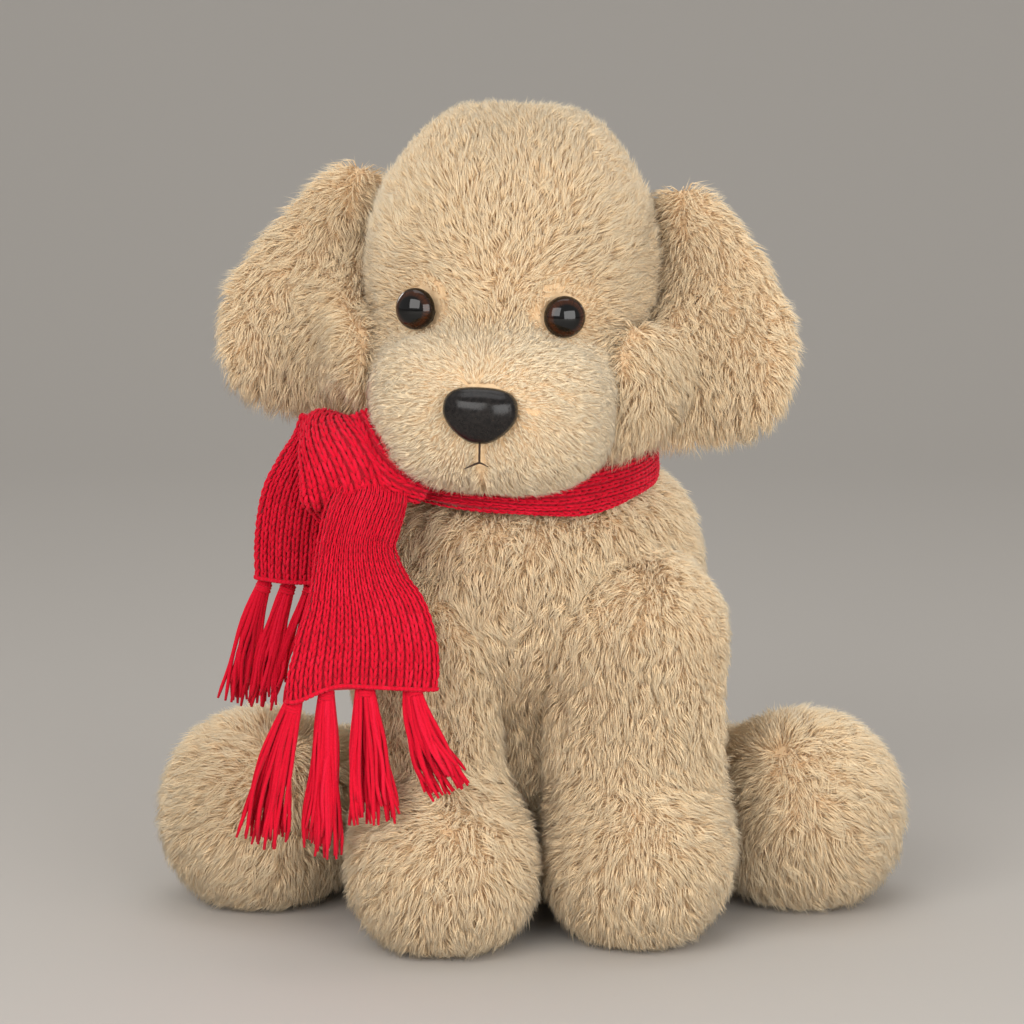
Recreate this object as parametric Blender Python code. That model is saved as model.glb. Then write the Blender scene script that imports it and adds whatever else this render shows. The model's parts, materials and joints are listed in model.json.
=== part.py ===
"""Seated plush puppy with a knitted scarf, built as separate sewn, stuffed and moulded pieces.

Units are metres; lengths in the tables below are millimetres, scaled by MM when a mesh is made.
+Z is up, -Y is the way the chest faces and +X is the puppy's left. The tables are laid out from a
point between the paws and the seat; the last step slides everything so that the origin is the
middle of the seat's flat underside. Every soft shell is a wall of pile fabric with an opening where it
is sewn on, and its stuffing is a second solid inside it.
"""

import math

import bmesh
import bpy
from mathutils import Matrix, Vector

MM = 0.001

# ---------------------------------------------------------------- driving dimensions (mm)
WALL = 2.6            # pile fabric: knitted backing with its trimmed pile pressed flat
SLACK = 0.45          # air between a fabric wall and the stuffing behind it
SEAM_GAP = 0.35       # between two sewn panels
JOINT_GAP = 1.3       # between parts that move against each other
HEAD_GAP = 1.9        # under the head, round the scarf's loop
TORSO_GAP = 4.25      # round the limbs, where the torso's skin is dished to let them swing
FLOOR = 0.0           # the paws, feet and seat are flat here

NECK = Vector((-11.0, 4.0, 166.0))   # middle of the neck ball
NECK_R = 38.0
HEAD_YAW, HEAD_ROLL = -6.0, 2.5      # resting turn and tilt of the head, degrees

EAR_AXIS_X, EAR_AXIS_Y = 52.6, 8.0   # ear seam line, in the head's own frame
EAR_HALF_T = 5.0

EYE_X, EYE_Y, EYE_Z = 23.4, -49.2, 41.0
EYE_R, EYE_TURN = 6.6, 17.0
SHANK_R, WASHER_R, WASHER_T = 2.1, 6.2, 1.6
NOSE_Y, NOSE_Z = -75.5, 13.4
NOSE_W, NOSE_H = 23.4, 17.6

SHOULDER_L = Vector((30.0, -19.0, 99.0))
SHOULDER_R = Vector((-38.0, -20.0, 97.0))
SHOULDER_RAD = 23.0
FORELEG_SWING = 60.0
HIP_L = Vector((50.0, 42.0, 30.0))
HIP_R = Vector((-50.0, 42.0, 30.0))
HIP_SWING = 14.0
TAIL_ROOT = Vector((0.0, 80.0, 24.0))
SEAT_CENTRE = (-2.0, 27.5, 0.0)

LOOP_R, LOOP_Z, LOOP_H, LOOP_T = 46.0, 155.0, 15.0, 5.6
LOOP_TILT = 0.14                     # the loop sits lower under the chin than behind the neck
KNOT = Vector((-63.0, -38.5, 160.0))
NECK_TURN = (-9.0, 20.0)            # the knot stops the cheek sooner on its own side
HEAD_NOD = (-8.0, 5.0)

# ---------------------------------------------------------------- materials
MATERIALS = {
    "plush_tan": ((0.76, 0.60, 0.40), 0.95, 0.0),
    "fibre_white": ((0.93, 0.92, 0.89), 0.95, 0.0),
    "pouch_cloth": ((0.82, 0.80, 0.74), 0.9, 0.0),
    "pellets": ((0.90, 0.90, 0.88), 0.45, 0.0),
    "eye_amber": ((0.16, 0.06, 0.02), 0.05, 0.0),
    "eye_black": ((0.01, 0.01, 0.01), 0.15, 0.0),
    "washer_white": ((0.88, 0.88, 0.86), 0.4, 0.0),
    "nose_black": ((0.015, 0.012, 0.012), 0.25, 0.0),
    "thread_dark": ((0.05, 0.03, 0.02), 0.8, 0.0),
    "thread_tan": ((0.66, 0.50, 0.32), 0.85, 0.0),
    "knit_red": ((0.62, 0.01, 0.03), 0.9, 0.0),
}


def clear_scene():
    for obj in list(bpy.data.objects):
        bpy.data.objects.remove(obj)


def material(name):
    mat = bpy.data.materials.get(name)
    if mat is None:
        colour, rough, metal = MATERIALS[name]
        mat = bpy.data.materials.new(name)
        mat.use_nodes = True
        p = mat.node_tree.nodes["Principled BSDF"]
        p.inputs["Base Color"].default_value = (*colour, 1.0)
        p.inputs["Roughness"].default_value = rough
        p.inputs["Metallic"].default_value = metal
        mat.diffuse_color = (*colour, 1.0)
    return mat


# ---------------------------------------------------------------- soft shapes as distance rules
def ellipsoid(c, r):
    c, r = Vector(c), Vector(r)
    least = min(r)

    def d(p):
        q = p - c
        k = math.sqrt((q.x / r.x) ** 2 + (q.y / r.y) ** 2 + (q.z / r.z) ** 2)
        g = math.sqrt((q.x / r.x ** 2) ** 2 + (q.y / r.y ** 2) ** 2 + (q.z / r.z ** 2) ** 2)
        return k * (k - 1.0) / g if g > 1e-9 else -least

    return d


def rod(a, b, ra, rb):
    """A tapered rod with round ends."""
    a, b = Vector(a), Vector(b)
    ab = b - a

    def d(p):
        t = max(0.0, min(1.0, (p - a).dot(ab) / ab.length_squared))
        return (p - a - ab * t).length - (ra + (rb - ra) * t)

    return d


def collar(c, radius, z0, z1, edge):
    """An upright drum with rounded rims."""
    mid, half = (z0 + z1) / 2, (z1 - z0) / 2

    def d(p):
        dr = math.hypot(p.x - c.x, p.y - c.y) - radius + edge
        dz = abs(p.z - mid) - half + edge
        return math.hypot(max(dr, 0), max(dz, 0)) + min(max(dr, dz), 0) - edge

    return d


def ring_band(c, radius, z, h, t):
    """A flat band wrapped round the neck: a rounded upright slot section turned about the neck."""
    def d(p):
        dr = abs(math.hypot(p.x - c.x, p.y - c.y) - radius)
        dz = max(abs(p.z - z - LOOP_TILT * (p.y - c.y)) - (h - t) / 2, 0)
        return math.hypot(dr, dz) - t / 2

    return d


def union(k, *ds):
    """Smooth union, with blends about k wide."""
    def d(p):
        v = ds[0](p)
        for e in ds[1:]:
            w = e(p)
            h = max(k - abs(v - w), 0.0) / k
            v = min(v, w) - h * h * k * 0.25
        return v

    return d


def minus(a, b, gap):
    """a with room left for b."""
    return lambda p: max(a(p), gap - b(p))


def above(a, z):
    return lambda p: max(a(p), z - p.z)


def rounded_box(c, r, n=2.8):
    """Distance to an ellipsoid with fuller corners; n = 2 is a plain ellipsoid."""
    def d(p):
        q = [abs(p[i] - c[i]) / r[i] for i in range(3)]
        k = sum(v ** n for v in q) ** (1 / n)
        if k < 1e-6:
            return -min(r)
        g = math.sqrt(sum((q[i] ** (n - 1) / r[i]) ** 2 for i in range(3))) / k ** (n - 1)
        return (k - 1) / g
    return d


def below(a, z):
    return lambda p: max(a(p), p.z - z)


def turned(d, pivot, axis, angles):
    """The space that d sweeps as it turns about an axis, sampled at a few angles."""
    mats = [Matrix.Rotation(math.radians(-a), 3, axis) for a in angles]
    return lambda p: min(d(m @ (p - pivot) + pivot) for m in mats)


def exit_point(d, origin, way, reach=170.0, step=1.5):
    """Where a ray from inside the shape first leaves it."""
    t = 0.0
    while t < reach and d(origin + way * t) < 0:
        t += step
    lo, hi = max(t - step, 0.0), t
    for _ in range(22):
        mid = (lo + hi) / 2
        if d(origin + way * mid) < 0:
            lo = mid
        else:
            hi = mid
    return origin + way * lo


# ---------------------------------------------------------------- mesh makers
def axes_frame(ez):
    ez = Vector(ez).normalized()
    ex = Vector((1, 0, 0))
    if abs(ez.dot(ex)) > 0.9:
        ex = Vector((0, 1, 0))
    ex = (ex - ez * ez.dot(ex)).normalized()
    return ex, ez.cross(ex), ez


def caster(d, a, b, frame):
    """Maps a unit sphere's point to the shape's skin, from origins spread along the line a-b."""
    ex, ey, ez = frame
    a, b = Vector(a), Vector(b)
    long = (b - a).length > 1e-6

    def place(u):
        pol = math.acos(max(-1, min(1, -u.z)))          # 0 at the low pole
        side = Vector((u.x, u.y, 0))
        side = side.normalized() if side.length > 1e-9 else Vector((1, 0, 0))
        if long:
            lo, hi = math.radians(58), math.radians(122)
            if pol <= lo:
                o, tilt = a, pol / lo * math.pi / 2
            elif pol >= hi:
                o, tilt = b, math.pi / 2 + (pol - hi) / (math.pi - hi) * math.pi / 2
            else:
                o, tilt = a.lerp(b, (pol - lo) / (hi - lo)), math.pi / 2
        else:
            o, tilt = a, pol
        way = (ex * side.x + ey * side.y) * math.sin(tilt) - ez * math.cos(tilt)
        return exit_point(d, o, way)

    return place


def mesh_object(name, bm, mat, matrix=None, smooth=True):
    me = bpy.data.meshes.new(name)
    bmesh.ops.triangulate(bm, faces=bm.faces[:], quad_method="FIXED")
    bmesh.ops.recalc_face_normals(bm, faces=bm.faces[:])
    if bm.calc_volume(signed=True) < 0:
        bmesh.ops.reverse_faces(bm, faces=bm.faces[:])
    bm.to_mesh(me)
    bm.free()
    if smooth:
        me.shade_smooth()
        me.set_sharp_from_angle(angle=math.radians(50))
    obj = bpy.data.objects.new(name, me)
    bpy.context.scene.collection.objects.link(obj)
    if mat:
        me.materials.append(material(mat))
    if matrix is not None:
        obj.matrix_world = matrix
    return obj


def sphere_bm(segs, rings):
    bm = bmesh.new()
    bmesh.ops.create_uvsphere(bm, u_segments=segs, v_segments=rings, radius=1.0)
    return bm


def solid_blob(name, d, a, b, segs, rings, mat, frame=None, pivot=None, matrix=None):
    """A closed stuffed solid."""
    frame = frame or axes_frame((Vector(b) - Vector(a)) if (Vector(b) - Vector(a)).length > 1e-6 else (0, 0, 1))
    place = caster(d, a, b, frame)
    bm = sphere_bm(segs, rings)
    o = Vector(pivot) if pivot is not None else Vector((0, 0, 0))
    for v in bm.verts:
        v.co = (place(v.co.copy()) - o) * MM
    return mesh_object(name, bm, mat, matrix if matrix is not None else Matrix.Translation(o * MM))


def shell_blob(name, d, a, b, segs, rings, mat, open_rings=2, wall=WALL, frame=None, pivot=None):
    """A fabric shell, open at its high pole where it is sewn on: outer and inner skins joined round the rim."""
    frame = frame or axes_frame(Vector(b) - Vector(a))
    outer = caster(d, a, b, frame)
    inner = caster(lambda p: d(p) + wall, a, b, frame)
    o = Vector(pivot) if pivot is not None else Vector((0, 0, 0))
    limit = math.cos(math.pi * open_rings / rings) - 1e-6
    bm = sphere_bm(segs, rings)
    both = bmesh.ops.duplicate(bm, geom=bm.verts[:] + bm.edges[:] + bm.faces[:])["geom"]
    second = {g for g in both if isinstance(g, bmesh.types.BMVert)}
    doomed = [v for v in bm.verts if v.co.z > limit + 1e-5]
    place = {v: (inner if v in second else outer) for v in bm.verts}
    unit = {v: v.co.copy() for v in bm.verts}
    for v in bm.verts:
        if v not in doomed:
            v.co = (place[v](unit[v]) - o) * MM
    bmesh.ops.reverse_faces(bm, faces=[f for f in bm.faces if f.verts[0] in second])
    bmesh.ops.delete(bm, geom=doomed, context="VERTS")
    rims = [e for e in bm.edges if e.is_boundary]
    bmesh.ops.bridge_loops(bm, edges=rims)
    return mesh_object(name, bm, mat, Matrix.Translation(o * MM))


def helper(obj):
    obj.hide_render = True
    obj.display_type = "WIRE"
    return obj


def cut(obj, tool, operation="DIFFERENCE"):
    m = obj.modifiers.new(operation.lower() + "_" + tool.name, "BOOLEAN")
    m.operation = operation
    m.object = tool
    m.solver = "EXACT"


def box_tool(name, lo, hi, matrix=None):
    bm = bmesh.new()
    bmesh.ops.create_cube(bm, size=1.0)
    lo, hi = Vector(lo) * MM, Vector(hi) * MM
    for v in bm.verts:
        v.co = Vector([(lo[i] + hi[i]) / 2 + v.co[i] * (hi[i] - lo[i]) for i in range(3)])
    return helper(mesh_object(name, bm, None, matrix, smooth=False))


def turned_profile(name, profile, segs, mat, matrix, as_tool=False):
    """Spins (radius, height) points about local +Z, both in mm, into a closed solid."""
    bm = bmesh.new()
    rings = []
    for r, h in profile:
        if r < 1e-6:
            rings.append([bm.verts.new((0, 0, h * MM))])
        else:
            rings.append([bm.verts.new((r * math.cos(2 * math.pi * i / segs) * MM, r * math.sin(2 * math.pi * i / segs) * MM, h * MM)) for i in range(segs)])
    closed = len(rings[0]) > 1 and len(rings[-1]) > 1
    pairs = list(zip(rings, rings[1:])) + ([(rings[-1], rings[0])] if closed else [])
    for low, high in pairs:
        for i in range(segs):
            j = (i + 1) % segs
            vs = []
            for v in (low[i % len(low)], low[j % len(low)], high[j % len(high)], high[i % len(high)]):
                if v not in vs:
                    vs.append(v)
            if len(vs) > 2:
                bm.faces.new(vs)
    obj = mesh_object(name, bm, mat, matrix)
    return helper(obj) if as_tool else obj


def strip_tube(name, points, radii, segs, mat, flat=1.0, normal=(0, 1, 0), pivot=None, twist=None):
    """A closed round or flattened tube along a path; radii are half-widths, flat is thickness over width."""
    pts = [Vector(p) for p in points]
    o = Vector(pivot) if pivot is not None else Vector((0, 0, 0))
    bm = bmesh.new()
    rings = []
    n0 = Vector(normal)
    for i, p in enumerate(pts):
        tangent = (pts[min(i + 1, len(pts) - 1)] - pts[max(i - 1, 0)]).normalized()
        side = tangent.cross(n0).normalized()
        up = side.cross(tangent).normalized()
        r = radii[i] if isinstance(radii, (list, tuple)) else radii
        f = flat[i] if isinstance(flat, (list, tuple)) else flat
        ring = []
        for s in range(segs):
            a = 2 * math.pi * (s + 0.5) / segs
            ca, sa = math.cos(a), math.sin(a)
            k = 0.55 if f < 0.7 else 1.0               # flatter strips are squarer across
            ca = math.copysign(abs(ca) ** k, ca)
            ring.append(bm.verts.new((p + side * (ca * r) + up * (sa * r * f) - o) * MM))
        rings.append(ring)
    for a, b in zip(rings, rings[1:]):
        for s in range(segs):
            bm.faces.new((a[s], a[(s + 1) % segs], b[(s + 1) % segs], b[s]))
    bm.faces.new(rings[0])
    bm.faces.new(rings[-1])
    return mesh_object(name, bm, mat, Matrix.Translation(o * MM))


# ================================================================ the puppy
clear_scene()

# ---------------------------------------------------------------- shapes shared between pieces
foreleg_L = above(union(7,
    rod(SHOULDER_L + Vector((-6, 0, 0)), SHOULDER_L + Vector((6, 0, 0)), SHOULDER_RAD, SHOULDER_RAD),
    rod(SHOULDER_L + Vector((-6, 0, 0)), (25, -27, 34), 22.0, 21.5),
    rod(SHOULDER_L + Vector((6, 0, 0)), (38, -27, 34), 22.0, 22.0),
    ellipsoid((32, -37, 25), (28.5, 29, 27.5))), FLOOR)
foreleg_R = above(union(7,
    rod(SHOULDER_R + Vector((-4, 0, 0)), SHOULDER_R + Vector((4, 0, 0)), SHOULDER_RAD, SHOULDER_RAD),
    rod(SHOULDER_R, (-34, -34, 40), 20.5, 22.5),
    ellipsoid((-31.5, -44, 26), (29.5, 29, 28.5))), FLOOR)
hindleg_L = above(union(8,
    rod(HIP_L, (84, 18, 30), 23.0, 26.0),
    ellipsoid((86.5, 11, 30), (28.5, 31, 32.5))), FLOOR)
hindleg_R = above(union(8,
    rod(HIP_R, (-88, 18, 30), 23.0, 26.0),
    ellipsoid((-91, 11, 30), (29, 31, 32.5))), FLOOR)
tail_shape = union(5, rod(TAIL_ROOT, (4, 112, 18), 14.0, 14.5), rod((4, 112, 18), (9, 132, 19), 14.0, 10.5))
loop_shape = ring_band(NECK, LOOP_R, LOOP_Z, LOOP_H, LOOP_T)
knot_shape = ellipsoid(KNOT, (16.0, 12.0, 13.0))

torso_shape = union(12,
    ellipsoid((0, 30, 56), (59, 50, 62)),
    ellipsoid((-1, 12, 112), (56, 46, 53)),
    ellipsoid((-11, -4, 126), (38, 35, 34)),
    ellipsoid((-8, -17, 103), (15, 17, 24)),
    collar(NECK, 42.0, 118, 153, 7))
torso_shape = above(torso_shape, FLOOR)
for limb, pivot, axis, angles in (
        (foreleg_L, SHOULDER_L, "X", (0, -20, -40, -FORELEG_SWING)),
        (foreleg_R, SHOULDER_R, "X", (0, -20, -40, -FORELEG_SWING)),
        (hindleg_L, HIP_L, "Z", (-HIP_SWING, 0, HIP_SWING)),
        (hindleg_R, HIP_R, "Z", (-HIP_SWING, 0, HIP_SWING)),
        (tail_shape, TAIL_ROOT, "Z", (-30, 0, 30)),
        (union(1, loop_shape, knot_shape), NECK, "Z", (0,))):
    swept = turned(limb, pivot, axis, angles)
    torso_shape = minus(torso_shape, swept, TORSO_GAP)


def under_scarf(d):
    """The shoulders stop just under the scarf's loop, on the loop's own slant."""
    return lambda p: max(d(p), p.z - (LOOP_Z - LOOP_H / 2 - 1.6 + LOOP_TILT * (p.y - NECK.y)))


torso_shape = under_scarf(torso_shape)
neck_ball = ellipsoid(NECK, (NECK_R,) * 3)

head_shape = union(8,
    ellipsoid((0, -2, 48), (46, 53, 56)),
    ellipsoid((15, -2, 60), (28, 44, 42)),
    ellipsoid((-15, -2, 60), (28, 44, 42)),
    rounded_box((0, -46, 11), (38.5, 30.5, 25)),
    ellipsoid((24, -18, 18), (22, 28, 21)),
    ellipsoid((-24, -18, 18), (22, 28, 21)),
    ellipsoid((0, 18, 38), (38, 32, 28)))
HEAD_O = Vector((0, -16, 36))
HEAD_M = Matrix.Translation(NECK * MM) @ Matrix.Rotation(math.radians(HEAD_YAW), 4, "Z") @ Matrix.Rotation(math.radians(HEAD_ROLL), 4, "Y")



def head_clearance():
    """What the scarf and collar sweep in the head's frame as the neck turns and the head nods."""
    def loop_room(p):
        top = LOOP_Z + LOOP_H / 2 + 1.0 + LOOP_TILT * (p.y - NECK.y)
        return max(math.hypot(p.x - NECK.x, p.y - NECK.y) - (LOOP_R + 9.0), p.z - top)

    low = union(1, loop_shape, knot_shape, collar(NECK, 42.0, 118, 153, 7))
    below_head = lambda p: min(low(p), loop_room(p))
    rest = HEAD_M.to_3x3()
    ways = [Matrix.Rotation(math.radians(t), 3, "Z") @ Matrix.Rotation(math.radians(n), 3, "X") @ rest
            for t in (NECK_TURN[0], 0, NECK_TURN[1]) for n in (HEAD_NOD[0], 0, HEAD_NOD[1])]
    return lambda p: min(below_head(NECK + w @ p) for w in ways)


head_shape = minus(head_shape, head_clearance(), HEAD_GAP)

# ---------------------------------------------------------------- joint empties
def empty(name, at, parent=None):
    e = bpy.data.objects.new(name, None)
    e.empty_display_size = 0.01
    bpy.context.scene.collection.objects.link(e)
    e.matrix_world = at if isinstance(at, Matrix) else Matrix.Translation(Vector(at) * MM)
    if parent:
        world = e.matrix_world.copy()
        e.parent = parent
        e.matrix_parent_inverse = parent.matrix_world.inverted()
        e.matrix_world = world
    return e


def hang(obj, parent):
    """Parents obj where it is."""
    bpy.context.view_layer.update()
    world = obj.matrix_world.copy()
    obj.parent = parent
    obj.matrix_parent_inverse = parent.matrix_world.inverted()
    obj.matrix_world = world
    return obj


bpy.context.view_layer.update()
torso_e = empty("torso_frame", (0, 0, 0))
neck_e = empty("neck_joint", NECK, torso_e)
head_e = empty("head_joint", HEAD_M, neck_e)
bpy.context.view_layer.update()

# ---------------------------------------------------------------- torso: panels, stuffing, pellets
TORSO_O = Vector((-2, 26, 84))
TORSO_GRID, HEAD_GRID = (28, 19), (22, 15)
torso_core = helper(solid_blob("torso_core_tool", lambda p: torso_shape(p) + WALL, TORSO_O, TORSO_O, *TORSO_GRID, None))
neck_socket = helper(solid_blob("neck_socket_tool", ellipsoid(NECK, (NECK_R + 0.9,) * 3), NECK, NECK, 22, 14, None))
split_x = NECK.x * 0.5
seat_z = 8.0
keep_left = box_tool("torso_left_tool", (-200, -200, -50), (split_x + SEAM_GAP / 2, 200, 300))
keep_right = box_tool("torso_right_tool", (split_x - SEAM_GAP / 2, -200, -50), (200, 200, 300))
off_low = box_tool("torso_low_tool", (-200, -200, -50), (200, 200, seat_z))
off_high = box_tool("torso_high_tool", (-200, -200, seat_z - SEAM_GAP), (200, 200, 300))
torso_skin = solid_blob("torso_left_panel", torso_shape, TORSO_O, TORSO_O, *TORSO_GRID, "plush_tan")
torso_right = bpy.data.objects.new("torso_right_panel", torso_skin.data)
seat = bpy.data.objects.new("seat_panel", torso_skin.data)
for o in (torso_right, seat):
    bpy.context.scene.collection.objects.link(o)
for o, tools in ((torso_skin, (neck_socket, torso_core, keep_left, off_low)), (torso_right, (neck_socket, torso_core, keep_right, off_low)), (seat, (torso_core, off_high))):
    for t in tools:
        cut(o, t)
    hang(o, torso_e)

POUCH_TOP = 34.0
inside = minus(lambda p: torso_shape(p) + WALL + SLACK, neck_ball, 3.0)
torso_fill = solid_blob("torso_fill", above(inside, POUCH_TOP + 0.6), TORSO_O, TORSO_O, *TORSO_GRID, "fibre_white")
hang(torso_fill, torso_e)
POUCH_O = Vector((-1, 36, 20))
pouch_shape = ellipsoid(POUCH_O, (15.5, 22, 12.5))
hang(shell_blob("pellet_pouch", pouch_shape, POUCH_O - Vector((0, 0, 1)), POUCH_O + Vector((0, 0, 1)), 14, 8, "pouch_cloth", open_rings=1, wall=0.9), torso_e)
hang(solid_blob("pellet_charge", lambda p: pouch_shape(p) + 1.4, POUCH_O - Vector((0, 0, 1)), POUCH_O + Vector((0, 0, 1)), 14, 8, "pellets"), torso_e)

# closing stitches: one thread laced down the seam in the middle of the back
pts = []
for i in range(13):
    z = 118 - i * 4.4
    side = 1.5 if i % 2 else -1.5
    p = exit_point(torso_shape, Vector((split_x + side, 26, z)), Vector((0, 1, 0)))
    pts.append(p + Vector((0, 1.0, 0)))
hang(strip_tube("back_closing_thread", pts, 0.45, 5, "thread_tan", normal=(0, 1, 0)), torso_e)

# ---------------------------------------------------------------- neck ball
neck_fill = solid_blob("neck_fill", ellipsoid(NECK, (NECK_R,) * 3), NECK, NECK, 20, 12, "fibre_white", pivot=NECK)
hang(neck_fill, neck_e)

# ---------------------------------------------------------------- head: panels and stuffing
def head_part(obj):
    """Puts a mesh made in the head's own frame into place."""
    obj.matrix_world = HEAD_M @ obj.matrix_world
    return hang(obj, head_e)


def eye_matrix(side, depth=0.0):
    """Frame at an eye: local +Z looks out of the head."""
    out = Vector((side * math.sin(math.radians(EYE_TURN)), -math.cos(math.radians(EYE_TURN)), 0.03)).normalized()
    q = out.to_track_quat("Z", "Y").to_matrix().to_4x4()
    return HEAD_M @ Matrix.Translation((Vector((side * EYE_X, EYE_Y, EYE_Z)) + out * depth) * MM) @ q


NOSE_M = HEAD_M @ Matrix.Translation(Vector((0, NOSE_Y, NOSE_Z)) * MM) @ Matrix.Rotation(math.radians(90), 4, "X")

zero = Vector((0, 0, 0))
head_socket = helper(solid_blob("head_socket_tool", ellipsoid(zero, (NECK_R + JOINT_GAP + 1.0,) * 3), zero, zero, 22, 14, None))
head_socket.matrix_world = HEAD_M
head_core = helper(solid_blob("head_core_tool", lambda p: head_shape(p) + WALL, HEAD_O, HEAD_O, *HEAD_GRID, None))
head_core.matrix_world = HEAD_M
muzzle_big = helper(solid_blob("muzzle_seam_tool", ellipsoid((0, -74, 6), (47, 44, 37)), (0, -60, 6), (0, -60, 6), 24, 12, None))
muzzle_big.matrix_world = HEAD_M
muzzle_small = helper(solid_blob("muzzle_panel_tool", ellipsoid((0, -74, 6), (47 - SEAM_GAP, 44 - SEAM_GAP, 37 - SEAM_GAP)), (0, -60, 6), (0, -60, 6), 24, 12, None))
muzzle_small.matrix_world = HEAD_M
head_keep_left = box_tool("head_left_tool", (-200, -200, -100), (SEAM_GAP / 2, 200, 200), HEAD_M)
head_keep_right = box_tool("head_right_tool", (-SEAM_GAP / 2, -200, -100), (200, 200, 200), HEAD_M)

head_left = solid_blob("head_left_panel", head_shape, HEAD_O, HEAD_O, *HEAD_GRID, "plush_tan")
head_right = bpy.data.objects.new("head_right_panel", head_left.data)
muzzle = bpy.data.objects.new("muzzle_panel", head_left.data)
for o in (head_right, muzzle):
    bpy.context.scene.collection.objects.link(o)
eye_holes, washers_room = {}, []
for side, who in ((1, "left"), (-1, "right")):
    eye_holes[who] = turned_profile(f"{who}_eye_hole_tool", [(0, -9), (SHANK_R + 0.45, -9), (SHANK_R + 0.45, 5), (0, 5)], 12, None, eye_matrix(side, -1.0), True)
    washers_room.append(turned_profile(f"{who}_eye_room_tool", [(0, -16.5), (WASHER_R + 0.7, -16.5), (WASHER_R + 0.7, 6), (0, 6)], 14, None, eye_matrix(side, -1.5), True))
nose_hole = turned_profile("nose_hole_tool", [(0, -12), (SHANK_R + 0.9, -12), (SHANK_R + 0.9, 8), (0, 8)], 12, None, NOSE_M, True)
washers_room.append(turned_profile("nose_room_tool", [(0, -17.5), (WASHER_R + 1.7, -17.5), (WASHER_R + 1.7, 6), (0, 6)], 14, None, NOSE_M, True))
eye_seats = {}
for side, who in ((1, "left"), (-1, "right")):
    eye_seats[who] = turned_profile(f"{who}_eye_seat_tool", [(0, -0.6), (EYE_R + 0.4, -0.6), (EYE_R + 1.4, 9), (0, 9)], 18, None, eye_matrix(side, 0.0), True)
nose_seat = turned_profile("nose_seat_tool", [(0, -0.5), (NOSE_W / 2 + 0.5, -0.5), (NOSE_W / 2 + 2, 9), (0, 9)], 18, None, NOSE_M, True)
for o, tools in (
        (head_left, (head_core, head_socket, head_keep_left, muzzle_big, eye_holes["left"], eye_seats["left"])),
        (head_right, (head_core, head_socket, head_keep_right, muzzle_big, eye_holes["right"], eye_seats["right"])),
        (muzzle, (muzzle_small, head_core, head_socket, nose_hole, nose_seat))):
    head_part(o)
    for t in tools:
        cut(o, t, "INTERSECT" if t is muzzle_small else "DIFFERENCE")

head_fill = solid_blob("head_fill", lambda p: head_shape(p) + WALL + SLACK, HEAD_O, HEAD_O, *HEAD_GRID, "fibre_white")
head_part(head_fill)
for t in [head_socket] + washers_room:
    cut(head_fill, t)

# ---------------------------------------------------------------- eyes: clear cap, black post, lock washer
for side, who in ((1, "left"), (-1, "right")):
    dome = [(EYE_R * math.cos(math.radians(a)), 1.2 + 5.4 * math.sin(math.radians(a))) for a in (0, 22, 44, 66)]
    lens = [(0, 0.9), (EYE_R - 0.9, 0.9), (EYE_R, 0.35)] + dome + [(0, 6.6)]
    hang(turned_profile(f"{who}_eye_lens", lens, 18, "eye_amber", eye_matrix(side, 0.4)), head_e)
    ribs = [(0, -13)]
    for i in range(3):
        z = -12.6 + i * 2.6
        ribs += [(SHANK_R - 0.5, z), (SHANK_R, z + 1.2), (SHANK_R - 0.5, z + 1.6)]
    post = ribs + [(SHANK_R, -3.0), (SHANK_R, -0.1), (EYE_R - 1.6, -0.1), (EYE_R - 1.3, 0.45), (0, 0.45)]
    hang(turned_profile(f"{who}_eye_post", post, 12, "eye_black", eye_matrix(side, 0.4)), head_e)
    w0 = -8.8
    ring = [(SHANK_R + 0.25, w0), (WASHER_R, w0 + 0.6), (WASHER_R, w0 + WASHER_T), (SHANK_R + 1.2, w0 + WASHER_T - 0.3), (SHANK_R + 0.25, w0 + 0.9)]
    hang(turned_profile(f"{who}_eye_washer", ring, 14, "washer_white", eye_matrix(side, -1.2)), head_e)

# ---------------------------------------------------------------- nose: moulded, with its own shank and washer
bm = bmesh.new()
segs, layers = 20, []
for depth, grow in ((0.35, 0.90), (1.2, 0.99), (3.6, 1.0), (6.0, 0.88), (7.8, 0.62), (8.6, 0.28)):
    ring = []
    for i in range(segs):
        a = 2 * math.pi * i / segs
        x, y = math.cos(a), math.sin(a)
        wide = 1.0 if y > 0 else 1.0 - 0.30 * abs(y) ** 1.5      # narrower towards the lip
        px = math.copysign(abs(x) ** 0.80, x) * NOSE_W / 2 * wide
        py = math.copysign(abs(y) ** (0.72 if y > 0 else 0.95), y) * NOSE_H / 2
        ring.append(bm.verts.new((px * grow * MM, py * grow * MM, depth * MM)))
    layers.append(ring)
for a, b in zip(layers, layers[1:]):
    for i in range(segs):
        bm.faces.new((a[i], a[(i + 1) % segs], b[(i + 1) % segs], b[i]))
bm.faces.new(layers[0])
bm.faces.new(layers[-1])
nose = mesh_object("nose_button", bm, "nose_black", NOSE_M)
shank = turned_profile("nose_shank_tool", [(0, -14), (SHANK_R + 0.2, -14), (SHANK_R + 0.5, -12.5), (SHANK_R + 0.5, 3), (0, 3)], 12, None, NOSE_M, True)
hang(nose, head_e)
cut(nose, shank, "UNION")
w0 = -8.2
ring = [(SHANK_R + 0.85, w0), (WASHER_R + 1, w0 + 0.6), (WASHER_R + 1, w0 + WASHER_T), (SHANK_R + 1.6, w0 + WASHER_T - 0.3), (SHANK_R + 0.85, w0 + 0.9)]
hang(turned_profile("nose_washer", ring, 14, "washer_white", NOSE_M), head_e)

# ---------------------------------------------------------------- mouth: one dark thread down from the nose and out along the lip
def on_muzzle(x, z, lift):
    p = exit_point(head_shape, Vector((x, -58, z)), Vector((0, -1, 0)))
    return p + Vector((0, -lift, 0))


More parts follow.
